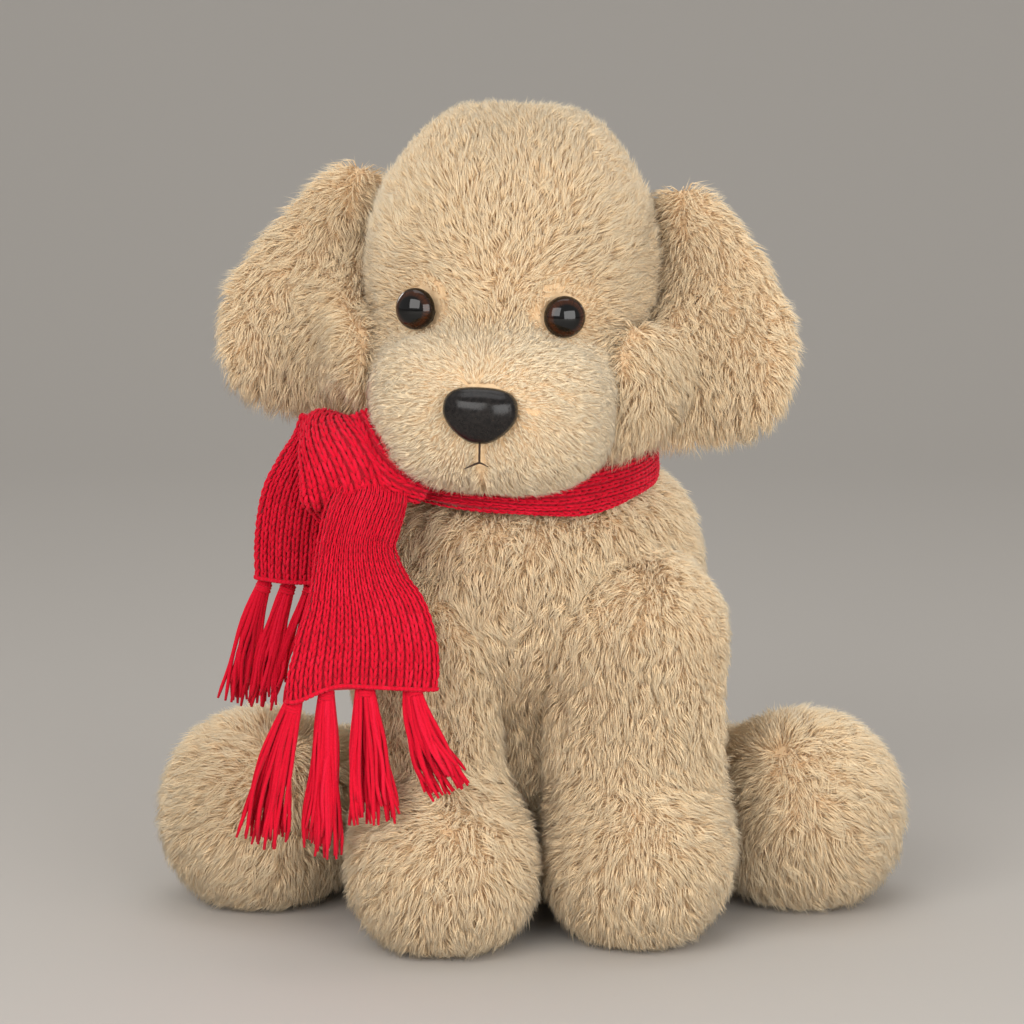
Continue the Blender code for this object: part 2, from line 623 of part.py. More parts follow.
down = [on_muzzle(0.2, NOSE_Z - NOSE_H / 2 - 1.2 - i * 1.9, 0.75) for i in range(5)]
lip = [on_muzzle(x, NOSE_Z - NOSE_H / 2 - 8.4 - 0.16 * abs(x) ** 1.35, 0.75) for x in (-8.5, -6.5, -4.3, -2.0, 0.2, 2.4, 4.8, 7.0)]
thread = head_part(strip_tube("mouth_thread", lip, 0.42, 6, "thread_dark", normal=(0, -1, 0)))
stem = helper(head_part(strip_tube("mouth_stem_tool", down, 0.42, 6, None, normal=(0, -1, 0))))
cut(thread, stem, "UNION")

# ---------------------------------------------------------------- ears: two layers each, sewn round the rim
EAR = [(-4.0, 80), (3, 83.0), (11, 81.5), (20, 76.5), (28, 68), (36, 55), (41, 42), (43.5, 31), (42.5, 20), (37, 11), (28, 6.0),
       (17, 3.5), (5, 3.0), (-3.0, 7), (-4.2, 17), (-4.0, 32), (-4.0, 48), (-4.0, 64)]
EAR_TURN = {"left": 17.0, "right": 6.0}
EAR_DROP = {"left": -2.0, "right": 0.0}       # resting forward swing, degrees


def ear_panel(name, side, who, front):
    """One layer: a flat back at the ear's mid-plane and a padded face that thins to the rim."""
    n = len(EAR)
    c = Vector((sum(p[0] for p in EAR) / n, 0, sum(p[1] for p in EAR) / n))
    bm = bmesh.new()
    sgn = -1 if front else 1
    flat = 0.18
    rows = []
    for rho, t in ((1.0, 0.55), (0.90, 0.88), (0.62, 1.0), (0.30, 1.0)):
        row = []
        for e, z in EAR:
            p = c + (Vector((e, 0, z)) - c) * rho
            row.append(bm.verts.new((side * p.x * MM, sgn * max(EAR_HALF_T * t, flat + 0.5) * MM, p.z * MM)))
        rows.append(row)
    back = [bm.verts.new((side * e * MM, sgn * flat * MM, z * MM)) for e, z in EAR]
    rows.insert(0, back)
    for a, b in zip(rows, rows[1:]):
        for i in range(n):
            bm.faces.new((a[i], a[(i + 1) % n], b[(i + 1) % n], b[i]))
    bm.faces.new(back)
    bm.faces.new(rows[-1])
    bmesh.ops.triangulate(bm, faces=[f for f in bm.faces if len(f.verts) > 4])
    return mesh_object(name, bm, "plush_tan")


for side, who in ((1, "left"), (-1, "right")):
    # the hinge line is upright in the head's frame; turning towards the face is positive for both ears
    ear_m = HEAD_M @ Matrix.Translation(Vector((side * EAR_AXIS_X, EAR_AXIS_Y, EAR_DROP[who])) * MM) @ Matrix.Rotation(math.radians(-side * EAR_TURN[who]), 4, "Z")
    e = empty(f"{who}_ear_joint", ear_m, head_e)
    bpy.context.view_layer.update()
    for front in (True, False):
        o = ear_panel(f"{who}_ear_{'front' if front else 'back'}_panel", side, who, front)
        o.matrix_world = ear_m
        hang(o, e)

# ---------------------------------------------------------------- limbs: shell, stuffing
for who, shape, pivot, low in (("left", foreleg_L, SHOULDER_L, (32, -34, 26)), ("right", foreleg_R, SHOULDER_R, (-34, -42, 27))):
    e = empty(f"{who}_shoulder_joint", pivot, torso_e)
    bpy.context.view_layer.update()
    hang(shell_blob(f"{who}_foreleg_shell", shape, low, pivot, 14, 12, "plush_tan", open_rings=2, pivot=pivot), e)
    hang(solid_blob(f"{who}_foreleg_fill", lambda p, s=shape: s(p) + WALL + SLACK, low, pivot, 14, 12, "fibre_white", pivot=pivot), e)
for who, shape, pivot, low in (("left", hindleg_L, HIP_L, (86, 12, 30)), ("right", hindleg_R, HIP_R, (-90, 12, 30))):
    e = empty(f"{who}_hip_joint", pivot, torso_e)
    bpy.context.view_layer.update()
    hang(shell_blob(f"{who}_hindleg_shell", shape, low, pivot, 14, 11, "plush_tan", open_rings=2, pivot=pivot), e)
    hang(solid_blob(f"{who}_hindleg_fill", lambda p, s=shape: s(p) + WALL + SLACK, low, pivot, 14, 11, "fibre_white", pivot=pivot), e)

# ---------------------------------------------------------------- tail
e = empty("tail_joint", TAIL_ROOT, torso_e)
bpy.context.view_layer.update()
hang(shell_blob("tail_shell", tail_shape, (7, 124, 19), TAIL_ROOT, 12, 10, "plush_tan", open_rings=2, pivot=TAIL_ROOT), e)
hang(solid_blob("tail_fill", lambda p: tail_shape(p) + WALL + SLACK, (7, 124, 19), TAIL_ROOT, 12, 10, "fibre_white", pivot=TAIL_ROOT), e)

# ---------------------------------------------------------------- scarf: neck loop, knot, two ends with fringe
scarf_e = empty("scarf_joint", (NECK.x, NECK.y, LOOP_Z), torso_e)
bpy.context.view_layer.update()
bm = bmesh.new()
around, rings = 32, []
gap_lo, gap_hi = math.radians(207), math.radians(236)    # where the loop passes into the knot
span = 2 * math.pi - (gap_hi - gap_lo)
section = [(-0.5, -0.30), (-0.5, 0.30), (-0.25, 0.47), (0.25, 0.47), (0.5, 0.30), (0.5, -0.30), (0.25, -0.47), (-0.25, -0.47)]
for i in range(around):
    a = gap_hi + span * i / (around - 1)
    rings.append([bm.verts.new(((LOOP_R + s * LOOP_T) * math.cos(a) * MM, (LOOP_R + s * LOOP_T) * math.sin(a) * MM,
                                (h * LOOP_H + LOOP_TILT * (LOOP_R + s * LOOP_T) * math.sin(a)) * MM)) for s, h in section])
for a, b in zip(rings, rings[1:]):
    for i in range(8):
        bm.faces.new((a[i], a[(i + 1) % 8], b[(i + 1) % 8], b[i]))
bm.faces.new(rings[0])
bm.faces.new(rings[-1])
hang(mesh_object("scarf_neck_loop", bm, "knit_red", Matrix.Translation(Vector((NECK.x, NECK.y, LOOP_Z)) * MM)), scarf_e)
knot_room = minus(knot_shape, loop_shape, 0.9)
knot = solid_blob("scarf_knot", minus(knot_room, collar(NECK, LOOP_R - 1.0, 100, 200, 1), 0.0), KNOT + Vector((-4, -3, 0)), KNOT + Vector((-4, -3, 0)), 16, 10, "knit_red")
hang(knot, scarf_e)

FRONT_PIVOT, REAR_PIVOT = Vector((-54, -54.0, 147.0)), Vector((-81, -36, 161.0))
front_e = empty("scarf_front_joint", FRONT_PIVOT, scarf_e)
rear_e = empty("scarf_rear_joint", REAR_PIVOT, scarf_e)
bpy.context.view_layer.update()
front_path = [(-53.5, -55.0, 145.5), (-54, -56, 138), (-55, -57.5, 128), (-56, -59, 117), (-57, -60.5, 106), (-57.5, -61.8, 98), (-57.5, -62.8, 92)]
hang(strip_tube("scarf_front_end", front_path, [12, 14, 17.5, 21, 23.5, 24, 23.5], 12, "knit_red", flat=[0.24, 0.2, 0.16, 0.13, 0.12, 0.12, 0.11], pivot=FRONT_PIVOT), front_e)
rear_path = [(-84.5, -33, 160), (-84, -31.5, 152), (-84, -30, 143), (-84, -28.5, 133), (-84, -27.5, 126), (-83.5, -27, 121)]
hang(strip_tube("scarf_rear_end", rear_path, [6, 8, 10, 12, 12.5, 12], 12, "knit_red", flat=[0.4, 0.34, 0.27, 0.23, 0.22, 0.22], normal=(0.45, 1, 0), pivot=REAR_PIVOT), rear_e)

TASSELS = {
    "front": (FRONT_PIVOT, front_e, [((-77.5, -62.5, 90.6), (-81, -61, 74), (-88, -58, 38), 5.2), ((-66, -62.8, 90.6), (-67.5, -62.5, 72), (-71, -62, 38), 5.0),
                                     ((-54, -63, 90.6), (-54.5, -64.5, 76), (-56, -67.5, 54), 5.8), ((-42, -62.8, 90.6), (-40.5, -65, 80), (-33, -70, 62), 5.2)]),
    "rear": (REAR_PIVOT, rear_e, [((-92, -24, 119.4), (-94, -23, 106), (-101, -21, 82), 3.0), ((-85.4, -26.3, 119.4), (-86, -25.5, 104), (-90, -23.5, 80), 3.0),
                                  ((-78.8, -28.8, 119.4), (-78.5, -28, 104), (-80, -26, 80), 3.0)]),
}
for where, (pivot, parent, rows) in TASSELS.items():
    for i, (a, b, c, r) in enumerate(rows, 1):
        hang(strip_tube(f"{where}_tassel_{i}", [a, b, c], [r * 0.5, r * 0.75, r], 7, "knit_red", flat=0.72, normal=(0, 1, 0.01), pivot=pivot), parent)

# ---------------------------------------------------------------- the origin goes to the middle of the seat's flat
bpy.context.view_layer.update()
for obj in [o for o in bpy.data.objects if o.parent is None]:
    obj.location += Vector(SEAT_CENTRE) * -MM
bpy.context.view_layer.update()
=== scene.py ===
"""The seated plush puppy's visible surface: sewn skins, pile, knitted scarf, moulded eyes and nose."""
import json
import math

import bpy
import numpy as np
from mathutils import Matrix, Vector
from mathutils.kdtree import KDTree


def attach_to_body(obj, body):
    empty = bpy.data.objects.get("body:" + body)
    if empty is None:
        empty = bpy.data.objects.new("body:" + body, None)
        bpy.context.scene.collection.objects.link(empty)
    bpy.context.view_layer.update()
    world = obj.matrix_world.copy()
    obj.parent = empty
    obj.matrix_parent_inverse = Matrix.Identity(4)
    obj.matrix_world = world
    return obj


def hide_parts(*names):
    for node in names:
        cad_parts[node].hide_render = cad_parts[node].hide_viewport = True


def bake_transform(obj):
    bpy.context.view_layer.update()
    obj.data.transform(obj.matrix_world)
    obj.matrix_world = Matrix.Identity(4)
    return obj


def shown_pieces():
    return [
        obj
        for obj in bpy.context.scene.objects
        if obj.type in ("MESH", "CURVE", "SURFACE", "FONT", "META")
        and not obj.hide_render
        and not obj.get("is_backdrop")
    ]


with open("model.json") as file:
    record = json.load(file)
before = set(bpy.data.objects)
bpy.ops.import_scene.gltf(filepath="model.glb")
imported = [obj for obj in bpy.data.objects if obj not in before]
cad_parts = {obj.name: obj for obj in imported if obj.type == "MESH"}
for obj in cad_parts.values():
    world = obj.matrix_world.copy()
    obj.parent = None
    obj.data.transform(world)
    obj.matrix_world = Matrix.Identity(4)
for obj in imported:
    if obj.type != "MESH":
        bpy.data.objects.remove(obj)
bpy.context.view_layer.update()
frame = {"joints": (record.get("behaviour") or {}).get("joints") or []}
MM = 0.001
JOINTS = {j["name"]: j for j in frame["joints"]}

# The layout tables below are in millimetres from a point between paws and seat; the frame's own
# neck joint says where that layout sits in the row frame.
NECK = np.array([-11.0, 4.0, 166.0])
SHIFT = np.array(JOINTS["neck_turn"]["pos_m"]) * 1000 - NECK


def joint_at(name):
    return np.array(JOINTS[name]["pos_m"]) * 1000 - SHIFT


SHOULDER = {"left": joint_at("left_foreleg_swing"), "right": joint_at("right_foreleg_swing")}
HIP = {"left": joint_at("left_hindleg_spread"), "right": joint_at("right_hindleg_spread")}
TAIL_ROOT = joint_at("tail_wag")
FRONT_PIVOT, REAR_PIVOT = joint_at("scarf_front_drape"), joint_at("scarf_rear_swing")


def rot(axis, deg):
    return np.array(Matrix.Rotation(math.radians(deg), 3, axis))


HEAD_R = rot("Z", -6.0) @ rot("Y", 2.5)          # the head's rest turn and tilt


def head_to_world(q):
    return NECK + q @ HEAD_R.T


def world_to_head(p):
    return (p - NECK) @ HEAD_R


# ------------------------------------------------------------------ small maths
def unit(v):
    return v / np.maximum(np.linalg.norm(v, axis=-1, keepdims=True), 1e-9)


def smooth(x, a, b):
    t = np.clip((x - a) / (b - a), 0, 1)
    return t * t * (3 - 2 * t)


def wave_noise(p, scale, seed, terms=7):
    """Smooth noise about -1..1 whose features are about scale mm across."""
    r = np.random.default_rng(seed)
    k = unit(r.normal(size=(terms, 3))) * (2 * math.pi / scale) * r.uniform(0.6, 1.5, (terms, 1))
    ph = r.uniform(0, 2 * math.pi, terms)
    return np.sin(p @ k.T + ph).sum(1) / math.sqrt(terms) * 0.8


# ------------------------------------------------------------------ soft shapes as distance rules on (N, 3) arrays
def ell(c, r):
    c, r = np.array(c, float), np.array(r, float)

    def d(p):
        q = p - c
        k = np.sqrt(((q / r) ** 2).sum(1))
        g = np.sqrt(((q / r ** 2) ** 2).sum(1))
        return np.where(g > 1e-9, k * (k - 1) / np.maximum(g, 1e-9), -r.min())

    return d


def rod(a, b, ra, rb):
    a, b = np.array(a, float), np.array(b, float)
    ab = b - a

    def d(p):
        t = np.clip((p - a) @ ab / (ab @ ab), 0, 1)
        return np.linalg.norm(p - a - t[:, None] * ab, axis=1) - (ra + (rb - ra) * t)

    return d


def rbox(c, r, n=2.8):
    """An ellipsoid with fuller corners."""
    c, r = np.array(c, float), np.array(r, float)

    def d(p):
        q = np.abs(p - c) / r
        k = (q ** n).sum(1) ** (1 / n)
        g = np.sqrt(((q ** (n - 1) / r) ** 2).sum(1)) / np.maximum(k, 1e-6) ** (n - 1)
        return np.where(k > 1e-6, (k - 1) / np.maximum(g, 1e-9), -r.min())

    return d


def smin(a, b, k):
    h = np.maximum(k - np.abs(a - b), 0) / k
    return np.minimum(a, b) - h * h * k * 0.25


def union(k, *ds):
    def d(p):
        v = ds[0](p)
        for e in ds[1:]:
            v = smin(v, e(p), k)
        return v

    return d


def minus(a, b, gap, k=3.0):
    return lambda p: -smin(-a(p), b(p) - gap, k)


def above(a, z, k=4.0):
    return lambda p: -smin(-a(p), p[:, 2] - z, k)


LOOP_R, LOOP_Z, LOOP_H, LOOP_T, LOOP_TILT = 46.0, 155.0, 15.0, 5.6, 0.14


def band(p, grow=0.0):
    dr = np.abs(np.hypot(p[:, 0] - NECK[0], p[:, 1] - NECK[1]) - LOOP_R)
    dz = np.maximum(np.abs(p[:, 2] - LOOP_Z - LOOP_TILT * (p[:, 1] - NECK[1])) - (LOOP_H - LOOP_T) / 2, 0)
    return np.hypot(dr, dz) - LOOP_T / 2 - grow


KNOT = np.array([-63.0, -38.5, 160.0])
knot_d = ell(KNOT, (16, 12, 13))

# where the scarf's band turns over itself beside the chin
ROLL = np.array([(-57.5, -40, 173), (-54.5, -45, 168), (-51, -48.5, 161.5), (-45, -49.5, 155.5), (-37, -45.5, 151.0)], float)


def rods(points, r):
    pieces = [rod(a, b, r, r) for a, b in zip(points[:-1], points[1:])]

    def d(p):
        v = pieces[0](p)
        for e in pieces[1:]:
            v = np.minimum(v, e(p))
        return v

    return d


roll_d = rods(ROLL, 4.4)

SL, SR, HL, HR = SHOULDER["left"], SHOULDER["right"], HIP["left"], HIP["right"]
X = np.array([1.0, 0, 0])
foreleg = {
    "left": above(union(15, rod(SL - 6 * X, SL + 6 * X, 23, 23), rod(SL - 6 * X, (25, -27, 34), 22, 21.5),
                        rod(SL + 6 * X, (38, -27, 34), 22, 22), ell((32, -37, 25), (28.5, 29, 27.5))), 0.0),
    "right": above(union(13, rod(SR - 4 * X, SR + 4 * X, 23, 23), rod(SR, (-34, -34, 40), 20.5, 22.5),
                         ell((-31.5, -45, 26), (30, 30, 28.5))), 0.0),
}
hindleg = {
    "left": above(union(12, rod(HL, (84, 18, 30), 23, 26), ell((91.2, 11, 31.6), (31.2, 32.5, 33.6))), 0.0),
    "right": above(union(12, rod(HR, (-88, 18, 30), 23, 26), ell((-96.2, 11, 31.8), (31.4, 32.5, 33.8))), 0.0),
}
tail = union(5, rod(TAIL_ROOT, (4, 112, 18), 14, 14.5), rod((4, 112, 18), (9, 132, 19), 14, 10.5))
torso_full = above(union(14, ell((0, 30, 56), (59, 50, 62)), ell((-1, 12, 112), (56, 46, 53)), ell((-11, -4, 126), (38, 35, 34)),
                         ell((-8, -17, 103), (15, 17, 24)),
                         rod(SL - 6 * X, SL + 6 * X, 21.4, 21.4), rod(SR - 4 * X, SR + 4 * X, 21.4, 21.4),
                         rod(SL, SL + np.array([2, -1, -20]), 20, 17), rod(SR, SR + np.array([-1, -1, -16]), 19, 16),
                         rod(HL, HL + np.array([10, -6, 0]), 21, 19), rod(HR, HR + np.array([-10, -6, 0]), 21, 19)), 0.0)


def torso_d(p):
    lid = p[:, 2] - (LOOP_Z - LOOP_H / 2 + 1.0 + LOOP_TILT * (p[:, 1] - NECK[1]))
    return -smin(-torso_full(p), -lid, 8.0)


def head_clear(p):
    """Room under the head, in its own frame, for the scarf as the head turns."""
    best = None
    for t in (-9, 0, 20):
        w = NECK + p @ (rot("Z", t) @ HEAD_R).T
        d = np.minimum(band(w), np.minimum(knot_d(w), roll_d(w)) if t == 0 else knot_d(w))
        best = d if best is None else np.minimum(best, d)
    return best


muzzle_rule = rbox((0, -46, 10.5), (39, 31, 26))
skull = union(8, ell((0, -2, 48), (46, 53, 56)), ell((15, -2, 60), (28, 44, 42)), ell((-15, -2, 60), (28, 44, 42)),
              ell((24, -18, 18), (22, 28, 21)), ell((-24, -18, 18), (22, 28, 21)), ell((0, 18, 38), (38, 32, 28)))
head = minus(union(10.5, skull, muzzle_rule), head_clear, 0.6, 2.5)
NOSE = np.array([0, -75.5, 13.4])
EYE_X, EYE_Y, EYE_Z, EYE_R, EYE_TURN = 23.4, -49.2, 41.0, 6.7, 17.0


# ------------------------------------------------------------------ meshes from arrays
def build(name, verts, faces, mat, uv=None, smooth_shade=True, raw=False):
    """verts in layout mm; faces is a list of (n, k) index arrays; uv is one pair per vertex."""
    me = bpy.data.meshes.new(name)
    co = ((np.asarray(verts, float) + SHIFT) * MM).astype(np.float32) if not raw else np.asarray(verts, np.float32)
    me.vertices.add(len(co))
    me.vertices.foreach_set("co", co.ravel())
    loops = np.concatenate([f.ravel() for f in faces]).astype(np.int32)
    sizes = np.concatenate([np.full(len(f), f.shape[1]) for f in faces])
    starts = np.concatenate([[0], np.cumsum(sizes)[:-1]]).astype(np.int32)
    me.loops.add(len(loops))
    me.loops.foreach_set("vertex_index", loops)
    me.polygons.add(len(starts))
    me.polygons.foreach_set("loop_start", starts)
    me.update(calc_edges=True)
    if uv is not None:
        layer = me.uv_layers.new(name="OFBake")
        layer.data.foreach_set("uv", np.asarray(uv, np.float32)[loops].ravel())
    me.polygons.foreach_set("use_smooth", np.full(len(starts), smooth_shade))
    me.update()
    if mat:
        me.materials.append(mat)
    obj = bpy.data.objects.new(name, me)
    bpy.context.scene.collection.objects.link(obj)
    return obj


def tubes(path, radius, up, sides, tip=True, flat=1.0, uv=None, du=0.012):
    """Closed tubes along path (S, K, 3): returns verts, faces, uv. radius is (K,) or (S, K)."""
    S, K, _ = path.shape
    radius = np.broadcast_to(np.asarray(radius, float), (S, K))
    T = np.empty_like(path)
    T[:, 1:-1] = path[:, 2:] - path[:, :-2]
    T[:, 0] = path[:, 1] - path[:, 0]
    T[:, -1] = path[:, -1] - path[:, -2]
    T = unit(T)
    up = np.broadcast_to(up[:, None] if up.ndim == 2 else up, path.shape)
    A = unit(np.cross(T, up))
    B = np.cross(T, A)
    rings = K - 1 if tip else K
    a = 2 * math.pi * np.arange(sides) / sides
    ring = (path[:, :rings, None] + radius[:, :rings, None, None] * (np.cos(a)[:, None] * A[:, :rings, None] + flat * np.sin(a)[:, None] * B[:, :rings, None]))
    per = rings * sides + (1 if tip else 0)
    verts = np.empty((S, per, 3))
    verts[:, :rings * sides] = ring.reshape(S, -1, 3)
    if tip:
        verts[:, -1] = path[:, -1]
    j = np.arange(sides)
    jn = (j + 1) % sides
    quads = np.concatenate([np.stack([k * sides + j, k * sides + jn, (k + 1) * sides + jn, (k + 1) * sides + j], 1) for k in range(rings - 1)]) if rings > 1 else np.zeros((0, 4), int)
    base = np.arange(S)[:, None, None] * per
    faces = [(base + quads[None]).reshape(-1, 4)]
    last = (rings - 1) * sides
    cap0 = j[::-1]
    if tip:
        tri = np.stack([last + j, last + jn, np.full(sides, per - 1)], 1)
        faces.append((base + tri[None]).reshape(-1, 3))
        faces.append((base[:, :, 0] + cap0[None]).reshape(-1, sides))
    else:
        faces.append((base[:, :, 0] + cap0[None]).reshape(-1, sides))
        faces.append((base[:, :, 0] + (last + j)[None]).reshape(-1, sides))
    out = None
    if uv is not None:
        tone, along = uv                                   # (S,), (K,)
        out = np.empty((S, per, 2))
        w = (j - (sides - 1) / 2) / max(sides - 1, 1) * 2 * du
        out[:, :rings * sides, 0] = np.tile(tone[:, None] + w[None], (1, rings))
        out[:, :rings * sides, 1] = np.repeat(along[:rings], sides)[None]
        if tip:
            out[:, -1, 0] = tone
            out[:, -1, 1] = along[-1]
        out = np.clip(out.reshape(-1, 2), 0.002, 0.998)
    return verts.reshape(-1, 3), faces, out


# ------------------------------------------------------------------ skins
def cast(rule, a, b, segs, rings, frame_axes=None):
    """Dense closed mesh of the shape: rays from a line of origins a-b, low pole first."""
    a, b = np.array(a, float), np.array(b, float)
    long = np.linalg.norm(b - a) > 1e-6
    ez = unit((b - a)[None])[0] if long else np.array([0, 0, 1.0])
    ex = np.array([1.0, 0, 0]) if abs(ez[0]) < 0.9 else np.array([0, 1.0, 0])
    ex = unit((ex - ez * (ez @ ex))[None])[0]
    ey = np.cross(ez, ex)
    pol = np.linspace(0, math.pi, rings + 1)[1:-1]
    lo, hi = math.radians(58), math.radians(122)
    pol = np.concatenate([[0], pol, [math.pi]])
    if long:
        tilt = np.where(pol <= lo, pol / lo * math.pi / 2, np.where(pol >= hi, math.pi / 2 + (pol - hi) / (math.pi - hi) * math.pi / 2, math.pi / 2))
        org = a + np.clip((pol - lo) / (hi - lo), 0, 1)[:, None] * (b - a)
    else:
        tilt, org = pol, np.tile(a, (len(pol), 1))
    az = 2 * math.pi * np.arange(segs) / segs
    side = np.cos(az)[:, None] * ex + np.sin(az)[:, None] * ey
    way = np.sin(tilt)[:, None, None] * side[None] - np.cos(tilt)[:, None, None] * ez
    way[0], way[-1] = -ez, ez
    O = np.repeat(org[:, None], segs, 1).reshape(-1, 3)
    W = way.reshape(-1, 3)
    t = np.zeros(len(O))
    live = np.ones(len(O), bool)
    step = 2.0
    for _ in range(90):
        i = np.nonzero(live)[0]
        if not len(i):
            break
        inside = rule(O[i] + W[i] * t[i, None]) < 0
        live[i[~inside]] = False
        t[i[inside]] += step
    low, high = np.maximum(t - step, 0), t.copy()
    for _ in range(9):
        mid = (low + high) / 2
        inside = rule(O + W * mid[:, None]) < 0
        low = np.where(inside, mid, low)
        high = np.where(inside, high, mid)
    P = (O + W * low[:, None]).reshape(len(pol), segs, 3)
    verts = np.concatenate([P[0, :1], P[1:-1].reshape(-1, 3), P[-1, :1]])
    R = len(pol) - 2
    j = np.arange(segs)
    jn = (j + 1) % segs
    faces = [np.concatenate([np.stack([1 + k * segs + j, 1 + k * segs + jn, 1 + (k + 1) * segs + jn, 1 + (k + 1) * segs + j], 1) for k in range(R - 1)]),
             np.stack([np.zeros(segs, int), 1 + jn, 1 + j], 1),
             np.stack([np.full(segs, len(verts) - 1), 1 + (R - 1) * segs + j, 1 + (R - 1) * segs + jn], 1)]
    return verts, faces


def evaluated(obj):
    dg = bpy.context.evaluated_depsgraph_get()
    ev = obj.evaluated_get(dg)
    me = ev.to_mesh()
    me.calc_loop_triangles()
    v = np.empty(len(me.vertices) * 3, np.float32)
    me.vertices.foreach_get("co", v)
    f = np.empty(len(me.loop_triangles) * 3, np.int32)
    me.loop_triangles.foreach_get("vertices", f)
    ev.to_mesh_clear()
    return v.reshape(-1, 3).astype(float), f.reshape(-1, 3)


SKINS = {}


def skin(name, body, rule, a, b, segs, rings, voxel, nodes, to_world=None, seams=None):
    """Starts a sewn skin: a little smaller than the real one, remeshed evenly, with its seams marked."""
    v, f = cast(lambda p: rule(p) + 2.0, a, b, segs, rings)
    if to_world:
        v = to_world(v)
    obj = build(name, v, f, None)
    m = obj.modifiers.new("even", "REMESH")
    m.mode, m.voxel_size = "VOXEL", voxel * MM
    s = obj.modifiers.new("relax", "SMOOTH")
    s.iterations, s.factor = 3, 0.5
    bpy.context.view_layer.objects.active = obj
    dg = bpy.context.evaluated_depsgraph_get()
    me = bpy.data.meshes.new_from_object(obj.evaluated_get(dg))
    obj.modifiers.clear()
    old = obj.data
    obj.data = me
    bpy.data.meshes.remove(old)
    me.name = name
    co = np.empty(len(me.vertices) * 3, np.float32)
    me.vertices.foreach_get("co", co)
    P = co.reshape(-1, 3) / MM - SHIFT
    pin = np.zeros(len(P))
    if seams:
        pin = np.clip(seams(P), 0, 1)
    group = obj.vertex_groups.new(name="seams")
    for i in np.nonzero(pin > 0.05)[0]:
        group.add([int(i)], float(pin[i]), "REPLACE")
    SKINS[name] = dict(obj=obj, body=body, nodes=nodes, start=P.copy())
    return obj


def inflate():
    """Stuffs every skin: cloth with inside pressure, held at the seams."""
    scene = bpy.context.scene
    objs = [s["obj"] for s in SKINS.values()]
    for o in objs:
        c = o.modifiers.new("stuffing", "CLOTH")
        st = c.settings
        st.quality = 4
        st.mass = 0.25
        st.tension_stiffness = st.compression_stiffness = 18
        st.shear_stiffness = 8
        st.bending_stiffness = 0.8
        st.use_pressure = True
        st.uniform_pressure_force = 4.0
        st.effector_weights.gravity = 0.0
        st.vertex_group_mass = "seams"
        st.pin_stiffness = 1.0
        c.collision_settings.use_collision = False
        c.point_cache.frame_start, c.point_cache.frame_end = 1, 20
    scene.frame_start, scene.frame_end = 1, 20
    for f in range(1, 21):
        scene.frame_set(f)
    for s in SKINS.values():
        o = s["obj"]
        dg = bpy.context.evaluated_depsgraph_get()
        me = bpy.data.meshes.new_from_object(o.evaluated_get(dg))
        o.modifiers.clear()
        o.vertex_groups.clear()
        old, o.data = o.data, me
        bpy.data.meshes.remove(old)
        co = np.empty(len(me.vertices) * 3, np.float32)
        me.vertices.foreach_get("co", co)
        P = co.reshape(-1, 3).astype(float) / MM - SHIFT
        move = P - s["start"]
        far = np.linalg.norm(move, axis=1, keepdims=True)
        P = s["start"] + move * np.minimum(1, 1.8 / np.maximum(far, 1e-9))
        P[:, 2] = np.maximum(P[:, 2], 0.8)
        me.vertices.foreach_set("co", ((P + SHIFT) * MM).astype(np.float32).ravel())
        sub = o.modifiers.new("fine", "SUBSURF")
        sub.levels = sub.render_levels = 1
        dg = bpy.context.evaluated_depsgraph_get()
        me2 = bpy.data.meshes.new_from_object(o.evaluated_get(dg))
        o.modifiers.clear()
        old, o.data = o.data, me2
        bpy.data.meshes.remove(old)
        me2.polygons.foreach_set("use_smooth", np.ones(len(me2.polygons), bool))
        me2.materials.clear()
        me2.materials.append(MAT["skin"])
        me2.update()
        s["rest"] = evaluated(o)
    scene.frame_set(1)


# ------------------------------------------------------------------ materials
def new_mat(name):
    m = bpy.data.materials.new(name)
    m.use_nodes = True
    nt = m.node_tree
    return m, nt, nt.nodes["Principled BSDF"]


def ramp(nt, stops, x=-400, y=0):
    r = nt.nodes.new("ShaderNodeValToRGB")
    r.location = (x, y)
    el = r.color_ramp.elements
    el[0].position, el[0].color = stops[0][0], (*stops[0][1], 1)
    el[1].position, el[1].color = stops[-1][0], (*stops[-1][1], 1)
    for pos, col in stops[1:-1]:
        e = el.new(pos)
        e.color = (*col, 1)
    return r


def mix(nt, kind, a, b, fac):
    n = nt.nodes.new("ShaderNodeMix")
    n.data_type, n.blend_type = "RGBA", kind
    if isinstance(fac, (int, float)):
        n.inputs[0].default_value = fac
    else:
        nt.links.new(fac, n.inputs[0])
    nt.links.new(a, n.inputs[6])
    if isinstance(b, tuple):
        n.inputs[7].default_value = (*b, 1)
    else:
        nt.links.new(b, n.inputs[7])
    return n.outputs[2]


def strand_uv(nt):
    uv = nt.nodes.new("ShaderNodeUVMap")
    uv.uv_map = "OFBake"
    sep = nt.nodes.new("ShaderNodeSeparateXYZ")
    nt.links.new(uv.outputs[0], sep.inputs[0])
    return sep.outputs[0], sep.outputs[1]


MAT = {}


